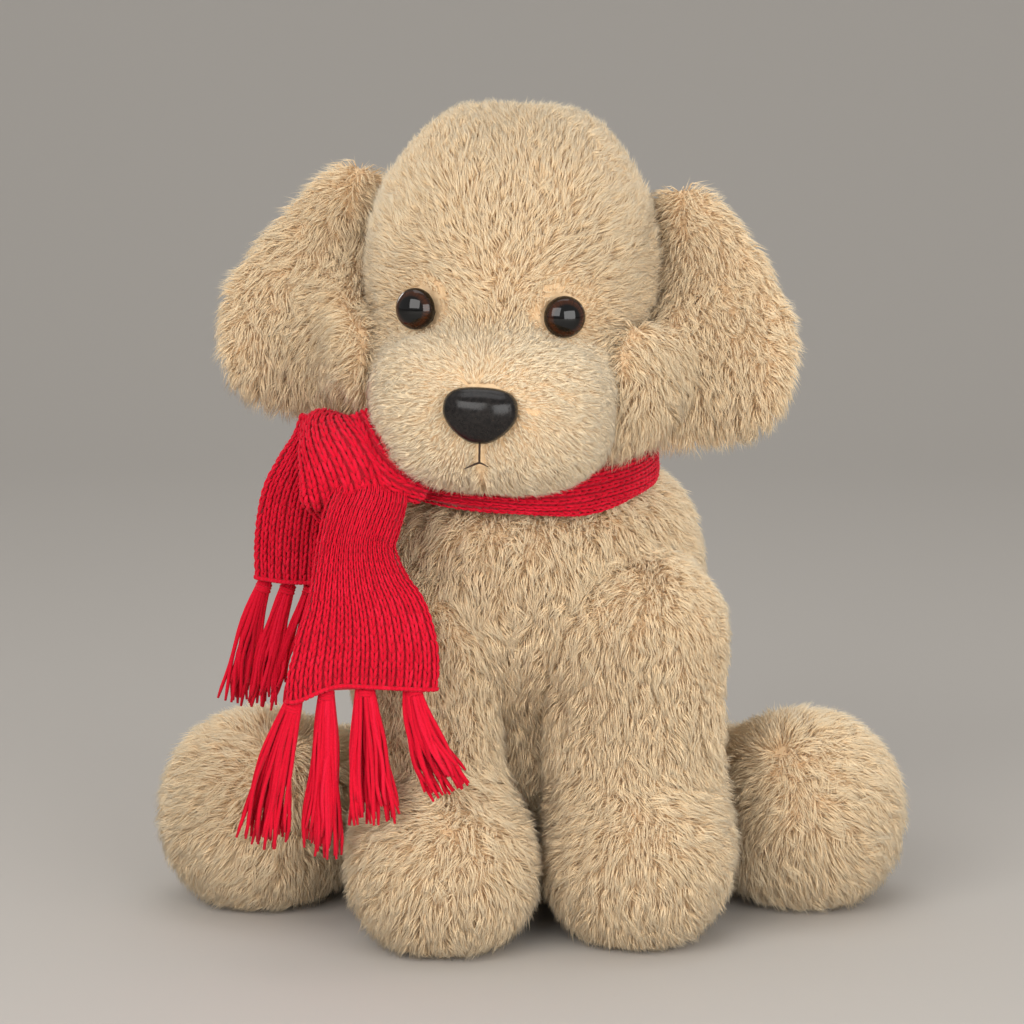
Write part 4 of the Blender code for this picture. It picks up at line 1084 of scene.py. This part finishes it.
tp, tf = arrays("torso_skin")
lid = lambda p, n: (p[:, 2] < LOOP_Z - LOOP_H / 2 + 1 + LOOP_TILT * (p[:, 1] - NECK[1])) | (np.hypot(p[:, 0] - NECK[0], p[:, 1] - NECK[1]) > 38)
tk = deep_in([foreleg["left"], foreleg["right"], hindleg["left"], hindleg["right"], tail], 1.0)
pile("torso_pile", "torso", tp, tf, 0.9, lambda p: 10.0 - 3.0 * shoulder_cap(p), torso_flow, (54, 20), "pile", radius=0.17, clump_area=10.0, clump=0.4, messy=0.38, under=1.3,
     keep=lambda p, n: tk(p, n) & lid(p, n) & (p[:, 2] > 2.2))


# legs
def leg_flow(whorl, top, amount=1.2):
    whorl = np.array(whorl, float)

    def f(p, n):
        rad = unit(p - whorl)
        rad = rad + 0.5 * np.cross(rad, unit(whorl - np.array([whorl[0], 20.0, 20.0])[None])) * smooth(ring_of(p, whorl), 34, 6)[:, None]
        w = smooth(p[:, 2], top, top - 26)[:, None]
        out = np.stack([np.sign(p[:, 0]) * 0.45, np.full(len(p), -0.1), np.full(len(p), -0.5)], 1)
        return DOWN * (1 - w) * 1.0 + (rad * amount + out * 0.8) * w
    return f


def leg_len(base, foot):
    return lambda p: base + (foot - base) * smooth(p[:, 2], 60, 25) - 3.0 * smooth(p[:, 2], 7, 1.5) - 3.6 * shoulder_cap(p)


def sole(p, n):
    return (p[:, 2] > 1.6) | (rng.random(len(p)) < 0.0)


for who, whorl in (("left", (31, -60, 54)), ("right", (-31, -66, 56))):
    P, F = arrays(f"{who}_foreleg_skin")
    inside = deep_in([torso_full], 9.0)
    pile(f"{who}_foreleg_pile", f"{who}_foreleg", P, F, 1.05, leg_len(9.6, 9.0), leg_flow(whorl, 66, 0.8), (54, 22), "pile", radius=0.165, clump_area=9.0, clump=0.4, messy=0.38,
         keep=lambda p, n, k=inside: k(p, n) & sole(p, n))
for who, whorl in (("left", (82, -12, 60)), ("right", (-86, -12, 60))):
    P, F = arrays(f"{who}_hindleg_skin")
    inside = deep_in([torso_full], 8.0)
    pile(f"{who}_hindleg_pile", f"{who}_hindleg", P, F, 1.0, leg_len(9.4, 9.4), leg_flow(whorl, 90, 0.7), (54, 22), "pile", radius=0.165, clump_area=9.0, clump=0.4, messy=0.38,
         keep=lambda p, n, k=inside: k(p, n) & sole(p, n))
P, F = arrays("tail_skin")
pile("tail_pile", "tail", P, F, 1.0, lambda p: 11.0 + 0 * p[:, 0], lambda p, n: np.tile(np.array([0.12, 1.0, -0.12]), (len(p), 1)), (52, 20), "pile", radius=0.165, clump_area=9.0, clump=0.4, messy=0.38,
     keep=lambda p, n: (p[:, 1] > 78))


# ------------------------------------------------------------------ neck: the sewn tube between head and body, mostly under the scarf
nv, nf = cast(ell(NECK, (37.2, 37.2, 37.2)), NECK, NECK, 48, 30)
neck = build("neck_skin", nv, nf, MAT["skin"])
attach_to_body(neck, "neck")
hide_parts("neck_fill")
NP, NF = evaluated(neck)
pile("neck_pile", "neck", NP / MM - SHIFT, NF, 0.8, lambda p: 5.0 + 0 * p[:, 0], lambda p, n: np.tile(DOWN, (len(p), 1)), (30, 8), "pile", radius=0.2,
     keep=lambda p, n: (p[:, 2] > 140) & (p[:, 2] < 178))


# ------------------------------------------------------------------ knitting
def tube_surface(path, half, thick, normal, power=2.6):
    """Returns at(s, phi): point and outward normal on a flattened knitted tube; s 0..1 along, phi round it."""
    path, half, thick = np.array(path, float), np.array(half, float), np.array(thick, float)
    seg = np.linalg.norm(np.diff(path, axis=0), axis=1)
    arc = np.concatenate([[0], np.cumsum(seg)])
    length = arc[-1]
    normal = np.array(normal, float)

    def spline(vals, s):
        x = s * length
        i = np.clip(np.searchsorted(arc, x, side="right") - 1, 0, len(arc) - 2)
        f = ((x - arc[i]) / seg[i])
        f = f[:, None] if vals.ndim == 2 else f
        k = len(vals)
        p0, p1, p2, p3 = vals[np.maximum(i - 1, 0)], vals[i], vals[i + 1], vals[np.minimum(i + 2, k - 1)]
        return 0.5 * (2 * p1 + (p2 - p0) * f + (2 * p0 - 5 * p1 + 4 * p2 - p3) * f ** 2 + (3 * p1 - p0 - 3 * p2 + p3) * f ** 3)

    def frame_at(s):
        s = np.clip(s, 0, 1)
        c = spline(path, s)
        h = 1e-3
        T = unit(spline(path, np.clip(s + h, 0, 1)) - spline(path, np.clip(s - h, 0, 1)))
        nrm = normal if normal.ndim == 1 else spline(normal, s)
        A = unit(np.cross(T, np.broadcast_to(nrm, T.shape)))
        B = np.cross(A, T)
        return c, T, A, B, spline(half, s), spline(thick, s)

    def at(s, phi, lift=0.0):
        c, T, A, B, w, t = frame_at(s)
        co, si = np.cos(phi), np.sin(phi)
        x = np.sign(co) * np.abs(co) ** (2 / power) * w
        y = np.sign(si) * np.abs(si) ** (2 / power) * t
        nn = unit(A * (np.sign(co) * np.abs(co) ** (2 - 2 / power) / w)[:, None] + B * (np.sign(si) * np.abs(si) ** (2 - 2 / power) / t)[:, None])
        return c + A * x[:, None] + B * y[:, None] + nn * np.asarray(lift).reshape(-1, 1), nn, T

    return at, length


def knit(name, body, path, half, thick, normal, node, columns, row_h=2.5, seed=1, power=2.6, relief=None, warp=None, bend=None, hem=False):
    """A stockinette tube: a plain core under two slanted yarn legs for each stitch."""
    at0, length = tube_surface(path, half, thick, normal, power)

    def at(s, phi, lift=0.0):
        p, no, T = at0(s, phi, np.asarray(lift) + (0 if relief is None else relief(s, phi)))
        return (p if warp is None else warp(p, s, phi)), no, T

    r = np.random.default_rng(seed)
    # even spacing round the widest section
    phi = np.linspace(0, 2 * math.pi, 721)
    pt, _, _ = at0(np.full(721, 0.7), phi)
    arc = np.concatenate([[0], np.cumsum(np.linalg.norm(np.diff(pt, axis=0), axis=1))])
    even = lambda u: np.interp(np.mod(u, 1.0), arc / arc[-1], phi)
    rows, cols = max(10, int(length / 1.6)), 72
    S = np.repeat(np.linspace(0, 1, rows), cols)
    U = np.tile(np.arange(cols) / cols, rows)
    cv, cn, _ = at(S, even(U), -0.22)
    j = np.arange(cols)
    jn = (j + 1) % cols
    q = np.concatenate([np.stack([k * cols + j, k * cols + jn, (k + 1) * cols + jn, (k + 1) * cols + j], 1) for k in range(rows - 1)])
    faces = [q, np.arange(cols)[::-1][None], ((rows - 1) * cols + np.arange(cols))[None]]
    m = len(q) // 2
    if np.cross(cv[q[m, 1]] - cv[q[m, 0]], cv[q[m, 2]] - cv[q[m, 0]]) @ cn[q[m, 0]] < 0:
        faces = [f[:, ::-1] for f in faces]
    core = build(name + "_core", cv, faces, MAT["yarn_core"])
    attach(core, body, bend)
    if node:
        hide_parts(node)
    # stitches
    n_rows = int(length / row_h)
    R, C = np.meshgrid(np.arange(n_rows), np.arange(columns), indexing="ij")
    R, C = R.ravel(), C.ravel()
    K = 5
    tt = np.linspace(0, 1, K)
    paths, ups, tones, wide = [], [], [], []
    half_at = np.interp(np.linspace(0, 1, 64), np.linspace(0, 1, len(half)), np.asarray(half, float)) / np.interp(0.7, np.linspace(0, 1, len(half)), np.asarray(half, float))
    for sgn in (-1, 1):
        across = sgn * (0.33 - 0.23 * tt ** 0.8)              # down from the column's side in to its middle
        along = -0.2 + 1.45 * tt                              # each leg tucks under the next row
        high = 0.05 + 0.75 * np.sin(np.pi * np.clip(tt * 0.92 + 0.06, 0, 1)) ** 0.8
        u = (C[:, None] + 0.5 + across[None]) / columns
        s = (R[:, None] + along[None] + 0.2) / (n_rows + 0.5)
        u = u + r.normal(0, 0.03, (len(C), 1)) / columns
        s = s + r.normal(0, 0.05, (len(C), 1)) / n_rows
        pt, no, _ = at(np.clip(s, 0.002, 0.998).ravel(), even(u.ravel()), np.tile(high, (len(C), 1)).ravel())
        paths.append(pt.reshape(len(C), K, 3))
        ups.append(no.reshape(len(C), K, 3))
        wide.append(np.clip(np.interp(R / n_rows, np.linspace(0, 1, 64), half_at), 0.55, 1.15))
        tones.append(0.5 + r.normal(0, 0.12, len(C)) + 0.1 * wave_noise(pt.reshape(len(C), K, 3)[:, 2], 30, 4))
    paths, ups, tones = np.concatenate(paths), np.concatenate(ups), np.clip(np.concatenate(tones), 0.05, 0.95)
    col_w = arc[-1] / columns
    rad = col_w * np.array([0.09, 0.185, 0.205, 0.18, 0.08])[None] * np.concatenate(wide)[:, None]
    v, fc, uv = tubes(paths, rad, ups, 6, False, 0.9, (tones, np.linspace(0, 1, K)), du=0.03)
    if hem:
        # the cast-off chain along the bottom edge
        nh = columns * 2
        k4 = np.linspace(0, 1, 4)
        uu = (np.arange(nh)[:, None] + k4[None] * 1.35) / nh
        ss = np.full(uu.shape, 0.99) + 0.012 * np.sin(np.pi * k4)[None]
        pt, no, _ = at(np.clip(ss, 0, 0.999).ravel(), even(uu.ravel()), np.tile(0.5 + 0.6 * np.sin(np.pi * k4), (nh, 1)).ravel())
        v2, f2, u2 = tubes(pt.reshape(nh, 4, 3), np.array([0.45, 0.75, 0.75, 0.4]), no.reshape(nh, 4, 3), 6, False, 1.0, (np.clip(r.normal(0.55, 0.1, nh), 0.1, 0.9), k4), du=0.03)
        v, fc, uv = np.concatenate([v, v2]), list(fc) + [x + len(v) for x in f2], np.concatenate([uv, u2])
    st = build(name + "_stitches", v, fc, MAT["yarn"], uv)
    attach(st, body, bend)
    # loose fibres standing off the yarn
    nfib = int(arc[-1] * length * (0.95))
    s, u = r.random(nfib), r.random(nfib)
    p0, no, T = at(s, even(u), 0.5)
    d = unit(no * r.uniform(0.1, 0.9, (nfib, 1)) + r.normal(0, 0.8, (nfib, 3)))
    L = r.uniform(0.8, 2.2, (nfib, 1))
    p1 = p0 + d * L * 0.5
    p2 = p1 + unit(d + r.normal(0, 0.6, (nfib, 3))) * L * 0.5
    v, fc, uv = tubes(np.stack([p0, p1, p2], 1), np.array([0.05, 0.045, 0.0]), unit(r.normal(size=(nfib, 3))), 3, True, 1.0, (np.clip(r.normal(0.5, 0.15, nfib), 0.05, 0.95), np.array([0, 0.5, 1.0])))
    fz = build(name + "_fuzz", v, fc, MAT["wool_fuzz"], uv)
    attach(fz, body, bend)


def point_m(p):
    return tuple((np.array(p, float) + SHIFT) * MM)


def pleats(count, depth, until, lean=0.0):
    """Gathers that run down from the top and die out."""
    return lambda s, phi: depth * np.sin(count * np.cos(phi) + lean * s + 0.7) * (1 - smooth(s, until * 0.4, until))


# neck loop
lo_a, hi_a = math.radians(227), math.radians(207 + 360)
ang = np.linspace(lo_a, hi_a, 48)
loop_path = np.stack([NECK[0] + LOOP_R * np.cos(ang), NECK[1] + LOOP_R * np.sin(ang), LOOP_Z + LOOP_TILT * LOOP_R * np.sin(ang)], 1)
radial = np.stack([np.cos(ang), np.sin(ang), np.zeros(len(ang))], 1)
lead = smooth(np.arange(48.0), 11, 1)       # the band is gathered narrower where it leaves the fold
loop_path[:, 2] += 2.0 * lead
knit("scarf_loop", "torso", loop_path, (LOOP_H / 2 - 0.2) * (1 - 0.36 * lead), np.full(48, 3.2), radial, "scarf_neck_loop", 14, seed=3,
     relief=lambda s, phi: 0.7 * np.sin(s * 31) * np.sin(phi * 2 + s * 9) + 0.5 * np.sin(3.4 * np.sin(phi) + s * 12))
# where the band turns over itself beside the chin
knit("scarf_roll", "torso", ROLL, [4.6, 5.2, 5.4, 5.2, 4.2], [3.6, 4.0, 4.2, 4.0, 3.4], (-0.5, -0.8, 0.3), None, 9, seed=4, power=2.1)
# the fold that wraps the ends
knot_path = [(-67, -30, 169.3), (-67, -37.5, 168.6), (-65.5, -43.0, 166), (-63, -46.6, 161.9), (-60.5, -47.8, 156.5), (-59, -47.0, 151.5), (-58.5, -43, 148.3), (-58.5, -38, 147.8)]
knit("scarf_knot_wrap", "torso", knot_path, [8.5, 10.0, 12.5, 14.6, 16.0, 16.2, 14.5, 12], [4.2, 4.6, 5.2, 5.6, 5.8, 5.4, 4.8, 4.0], (0.0, -1.0, 0.2), "scarf_knot", 20, seed=5,
     relief=lambda s, phi: 1.1 * np.sin(4.2 * np.cos(phi) + 3.4 * s) * (0.5 + 0.5 * np.sin(np.pi * s)))


# hanging ends
def front_hem(p, s, phi):
    drop = 6.6 * smooth(np.cos(phi), 0.1, 1.0) * smooth(s, 0.62, 1.0)
    return p - np.stack([0.25 * drop, 0 * drop, drop], 1)


FRONT_BEND = ("torso", "scarf_front", point_m((-53.5, -52, 153.5)), point_m((-56.5, -57, 140)))
REAR_BEND = ("torso", "scarf_rear", point_m((-71, -31, 168)), point_m((-77, -30, 148)))
knit("scarf_front_sheet", "scarf_front", FRONT_PATH, FRONT_HALF, FRONT_THICK, (0, -1, 0.1), "scarf_front_end", 34, seed=7, power=3.0,
     relief=pleats(7.5, 1.25, 0.62, 2.0), warp=front_hem, bend=FRONT_BEND, hem=True)
knit("scarf_rear_sheet", "scarf_rear", REAR_PATH, REAR_HALF, [4.6, 4.4, 4.2, 4.0, 3.7, 3.4, 3.0], (-0.15, -1, 0), "scarf_rear_end", 20, seed=8, power=2.8,
     relief=lambda s, phi: 1.0 * np.sin(5.5 * np.cos(phi) + 1.2 * s) * (1 - 0.5 * s), bend=REAR_BEND, hem=True)


# fringe
def tassel(name, body, node, top, mid, end, spread, count, seed):
    r = np.random.default_rng(seed)
    top, mid, end = (np.array(x, float) for x in (top, mid, end))
    K = 12
    t = np.linspace(0, 1, K)[None, :, None]
    base = (1 - t) ** 2 * top + 2 * t * (1 - t) * mid + t ** 2 * end
    axis = unit((end - top)[None])[0]
    sx = unit(np.cross(axis, [0, 1.0, 0.01])[None])[0]
    sy = np.cross(sx, axis)
    a = r.uniform(0, 2 * math.pi, count)
    rr = np.sqrt(r.uniform(0.02, 1, count)) * spread
    off = (np.cos(a) * rr)[:, None] * sx + (np.sin(a) * rr * 0.42)[:, None] * sy
    grow = (0.26 + 0.74 * np.linspace(0, 1, K) ** 0.8)[None, :, None]
    P = base + off[:, None] * grow
    P[:, 0] -= axis * 1.2
    length = r.uniform(0.86, 1.07, count)
    P = top + (P - top) * length[:, None, None]
    ph = r.uniform(0, 6.28, (count, 1))
    k = np.linspace(0, 1, K)[None]
    wob = 0.8 * np.sin(k * r.uniform(5, 11, (count, 1)) + ph) * k
    wob2 = 0.6 * np.sin(k * r.uniform(5, 11, (count, 1)) + ph * 1.7) * k
    P = P + wob[..., None] * sx + wob2[..., None] * sy
    P[:, :, 2] = np.maximum(P[:, :, 2], 1.0)
    rad = np.full(K, 0.68)
    rad[-1] = 0.42
    v, fc, uv = tubes(P, rad, np.tile(sy, (count, 1)), 5, False, 1.0, (np.clip(r.normal(0.5, 0.17, count), 0.05, 0.95), np.linspace(0, 1, K)), du=0.03)
    o = build(name, v, fc, MAT["yarn"], uv)
    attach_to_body(o, body)
    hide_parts(node)
    # the wrap that gathers the fringe, and the loop through the hem
    K2 = 26
    th = np.linspace(0, 2 * math.pi * 2.6, K2)
    h = np.linspace(0, 2.6, K2)
    c = top + axis * 2.0
    ring = c + (np.cos(th) * 2.2)[:, None] * sx + (np.sin(th) * 1.7)[:, None] * sy + h[:, None] * axis
    hem = np.array([top - axis * 3.4 + sx * 0.9 + sy * 2.9, top - axis * 1.2 + sx * 1.2 + sy * 3.1, top + axis * 0.6 + sx * 0.8 + sy * 1.8, top + axis * 2.4 + sx * 0.4])
    hem2 = np.array([top - axis * 3.4 - sx * 0.9 + sy * 2.9, top - axis * 1.2 - sx * 1.2 + sy * 3.1, top + axis * 0.6 - sx * 0.8 + sy * 1.8, top + axis * 2.4 - sx * 0.4])
    v1, f1, u1 = tubes(ring[None], np.full(K2, 0.6), np.array([axis]), 6, False, 1.0, (np.array([0.55]), np.linspace(0, 1, K2)), du=0.03)
    v2, f2, u2 = tubes(np.stack([hem, hem2]), np.full(4, 0.75), np.array([sy, sy]), 6, False, 1.0, (np.array([0.5, 0.62]), np.linspace(0, 1, 4)), du=0.03)
    k1 = build(name + "_wrap", np.concatenate([v1, v2]), [x for x in f1] + [x + len(v1) for x in f2], MAT["yarn"], np.concatenate([u1, u2]))
    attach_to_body(k1, body)


FT = [((-77.8, -64.4, 86.6), (-85.5, -65.0, 66), (-88.5, -63.5, 41)), ((-67.6, -64.8, 91.0), (-68.0, -66, 68), (-69.8, -65, 38.5)),
      ((-55.6, -65, 92.0), (-54.6, -67.5, 72), (-52.6, -70.5, 50)), ((-40.8, -64.8, 92.0), (-39, -68, 76), (-28.5, -74, 60))]
for i, (a, b, c) in enumerate(FT, 1):
    tassel(f"front_fringe_{i}", "scarf_front", f"front_tassel_{i}", a, b, c, (8.6, 7.0, 8.6, 7.6)[i - 1], 46, 40 + i)
RT = [((-89.6, -25.5, 118.5), (-96.5, -24, 101), (-100, -23, 79)), ((-81.8, -26, 118), (-88.5, -24.5, 98), (-92, -23.5, 77)), ((-74.0, -26.5, 118), (-80, -25, 98), (-84.5, -24, 79))]
for i, (a, b, c) in enumerate(RT, 1):
    tassel(f"rear_fringe_{i}", "scarf_rear", f"rear_tassel_{i}", a, b, c, 6.0, 24, 60 + i)


# ------------------------------------------------------------------ eyes, nose, mouth
def turned(name, centre, out, profile, segs, mat, up=None):
    """Spins (radius, height) round the outward axis; v runs 0 at the middle of the top to 1 at the rim."""
    out = unit(np.array(out, float)[None])[0]
    ex = unit(np.cross([0, 0, 1.0], out)[None])[0]
    ey = np.cross(out, ex)
    a = 2 * math.pi * np.arange(segs) / segs
    verts, uv = [], []
    rmax = max(r for r, _ in profile)
    for r, h in profile:
        verts.append(centre + r * (np.cos(a)[:, None] * ex + np.sin(a)[:, None] * ey) + h * out)
        uv.append(np.stack([a / (2 * math.pi), np.full(segs, r / rmax)], 1))
    v = np.concatenate(verts)
    uvs = np.concatenate(uv)
    K = len(profile)
    j = np.arange(segs)
    jn = (j + 1) % segs
    q = np.concatenate([np.stack([k * segs + j, k * segs + jn, (k + 1) * segs + jn, (k + 1) * segs + j], 1) for k in range(K - 1)])
    faces = [q, np.arange(segs)[::-1][None], ((K - 1) * segs + np.arange(segs))[None]]
    return build(name, v, faces, mat, np.clip(uvs, 0.001, 0.999))


for who, (c, out) in zip(("left", "right"), EYES):
    prof = [(EYE_R - 1.2, 0.6), (EYE_R - 0.2, 0.7), (EYE_R, 1.2)]
    for d in range(4, 90, 4):
        prof.append((EYE_R * math.cos(math.radians(d)), 1.3 + 4.6 * math.sin(math.radians(d))))
    prof.append((0.12, 5.9))
    o = turned(f"{who}_eye_cap", c, out, prof, 56, MAT["eye_glass"])
    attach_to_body(o, "head")
    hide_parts(f"{who}_eye_lens")


def nose_mesh():
    W, H = 23.6, 17.8
    segs = 72
    a = 2 * math.pi * np.arange(segs) / segs
    x, y = np.cos(a), np.sin(a)
    wide = np.where(y > 0, 1.0 - 0.03 * y, 1.0 - 0.36 * np.abs(y) ** 1.4)
    px = np.sign(x) * np.abs(x) ** 0.74 * W / 2 * wide
    py = np.where(y > 0, np.abs(y) ** 0.62 * H * 0.44, -np.abs(y) ** 0.95 * H * 0.56)
    rows = [(0.4, 0.90), (1.2, 0.985), (2.4, 1.0), (4.0, 0.985), (5.2, 0.94), (5.9, 0.885), (6.15, 0.84), (6.5, 0.80), (7.1, 0.70), (7.7, 0.56), (8.1, 0.40), (8.35, 0.22), (8.42, 0.05)]
    R = HEAD_R
    verts = []
    for depth, g in rows:
        lx, lz = px * g, py * g + (1 - g) * 0.6
        dep = depth - 0.018 * (py * g) ** 2 * 0.6 - 0.004 * (px * g) ** 2
        # a shallow step marks the flat top face off from the front
        dep = dep - 0.7 * smooth(lz, 4.4, 6.2) * (g < 0.97)
        verts.append(NOSE_W + np.stack([lx, -dep, lz], 1) @ R.T)
    v = np.concatenate(verts)
    K = len(rows)
    j = np.arange(segs)
    jn = (j + 1) % segs
    q = np.concatenate([np.stack([k * segs + j, k * segs + jn, (k + 1) * segs + jn, (k + 1) * segs + j], 1) for k in range(K - 1)])
    faces = [q, np.arange(segs)[::-1][None], ((K - 1) * segs + np.arange(segs))[None]]
    a_, b_, c_ = v[q[0, 0]], v[q[0, 1]], v[q[0, 2]]
    if np.dot(np.cross(b_ - a_, c_ - a_), a_ - NOSE_W) < 0:
        faces = [f[:, ::-1] for f in faces]
    return build("nose_moulding", v, faces, MAT["nose_moulded"])


nose = nose_mesh()
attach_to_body(nose, "head")
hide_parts("nose_button")


def on_muzzle(x, z, lift):
    o = np.stack([x, np.full(len(x), -58.0), z], 1)
    t = np.zeros(len(x))
    for _ in range(80):
        t = np.where(head(o + np.array([0, -1.0, 0]) * t[:, None]) < 0, t + 0.4, t)
    return head_to_world(o + np.array([0, -1.0, 0]) * (t + lift)[:, None])


zz = np.linspace(NOSE[2] - 7.5, NOSE[2] - 8.9 - 7.2, 14)
stem = on_muzzle(np.full(14, 0.3), zz, 1.6)
xx = np.linspace(-4.6, 3.0, 16)
lip = on_muzzle(xx, NOSE[2] - 8.9 - 7.0 - 0.40 * np.abs(xx - 0.3) ** 1.15, 1.0)
v1, f1, _ = tubes(stem[None], np.full(14, 0.36), np.array([NOSE_OUT]), 8, False)
v2, f2, _ = tubes(lip[None], 0.30 * np.sin(np.linspace(0.25, math.pi - 0.25, 16)) + 0.04, np.array([NOSE_OUT]), 8, False)
mouth = build("mouth_stitch", np.concatenate([v1, v2]), list(f1) + [x + len(v1) for x in f2], MAT["thread_dark"])
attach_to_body(mouth, "head")
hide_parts("mouth_thread")

# ------------------------------------------------------------------ stage: floor, light, camera
def plain(name, colour, rough):
    m, nt, p = new_mat(name)
    p.inputs["Base Color"].default_value = (*colour, 1)
    p.inputs["Roughness"].default_value = rough
    return m


floor_mat = plain("floor", (0.56, 0.53, 0.495), 0.75)
prof = [(-9.0, 0.0), (1.0, 0.0)] + [(1.0 + 2.2 * math.sin(t), 2.2 - 2.2 * math.cos(t)) for t in np.linspace(0.02, math.pi / 2, 60)] + [(3.2, 5.0)]
fv = np.array([(x, y, z) for y, z in prof for x in (-9.0, 9.0)])
ff = np.array([(2 * i, 2 * i + 1, 2 * i + 3, 2 * i + 2) for i in range(len(prof) - 1)])
floor = build("studio_floor", fv, [ff], floor_mat, raw=True)
floor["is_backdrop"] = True


def lamp(name, at, to, size, watts, colour=(1, 1, 1), spread=180):
    l = bpy.data.lights.new(name, "AREA")
    l.shape, l.size, l.energy, l.color = "RECTANGLE", size[0], watts, colour
    l.size_y = size[1]
    l.spread = math.radians(spread)
    o = bpy.data.objects.new(name, l)
    bpy.context.scene.collection.objects.link(o)
    o.location = at
    o.rotation_euler = (Vector(to) - Vector(at)).to_track_quat("-Z", "Y").to_euler()
    o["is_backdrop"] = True
    return o


aim = (0, -0.03, 0.14)
lamp("key", (-0.7, -1.35, 0.8), aim, (1.2, 1.0), 17, (1.0, 0.98, 0.95))
lamp("fill", (0.8, -1.3, 0.4), aim, (1.2, 0.8), 14, (1.0, 0.99, 0.97))
lamp("top", (0.0, 0.1, 1.3), aim, (0.8, 0.6), 2.2)
toy = bpy.data.collections.new("toy")
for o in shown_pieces():
    toy.objects.link(o)
for o in (lamp("rim_right", (0.85, 0.8, 0.42), aim, (0.3, 0.5), 4.6, (1.0, 1.0, 1.0)),
          lamp("rim_left", (-0.75, 0.8, 0.5), aim, (0.3, 0.5), 4.0, (1.0, 0.99, 0.97))):
    o.light_linking.receiver_collection = toy       # the rim lights leave the floor alone
bpy.context.scene.view_settings.view_transform = "Standard"
world = bpy.data.worlds.new("studio")
bpy.context.scene.world = world
world.use_nodes = True
world.node_tree.nodes["Background"].inputs[0].default_value = (0.95, 0.94, 0.92, 1)
world.node_tree.nodes["Background"].inputs[1].default_value = 0.5

ELEV, DIST = math.radians(9.0), 1.15
target = (np.array([0, -10, 140.0]) + SHIFT) * MM
eye = target + DIST * np.array([0, -math.cos(ELEV), math.sin(ELEV)])
cam_data = bpy.data.cameras.new("camera")
cam = bpy.data.objects.new("camera", cam_data)
bpy.context.scene.collection.objects.link(cam)
cam.location = eye
cam.rotation_euler = (Vector(target) - Vector(eye)).to_track_quat("-Z", "Y").to_euler()
focal_px = DIST * 1000 * 3.03
cam_data.sensor_width = 36.0
cam_data.lens = 36.0 * focal_px / 1024
# where the aim point falls in the frame
cam_data.shift_x = (512 - 540) / 1024
cam_data.shift_y = -(512 - (948 - (140 * math.cos(ELEV) + 40 * math.sin(ELEV)) * 3.03)) / 1024 - 0.004
cam_data.clip_start = 0.05
cam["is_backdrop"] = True
bpy.context.scene.camera = cam

print("STRANDS", FUR_TOTAL)
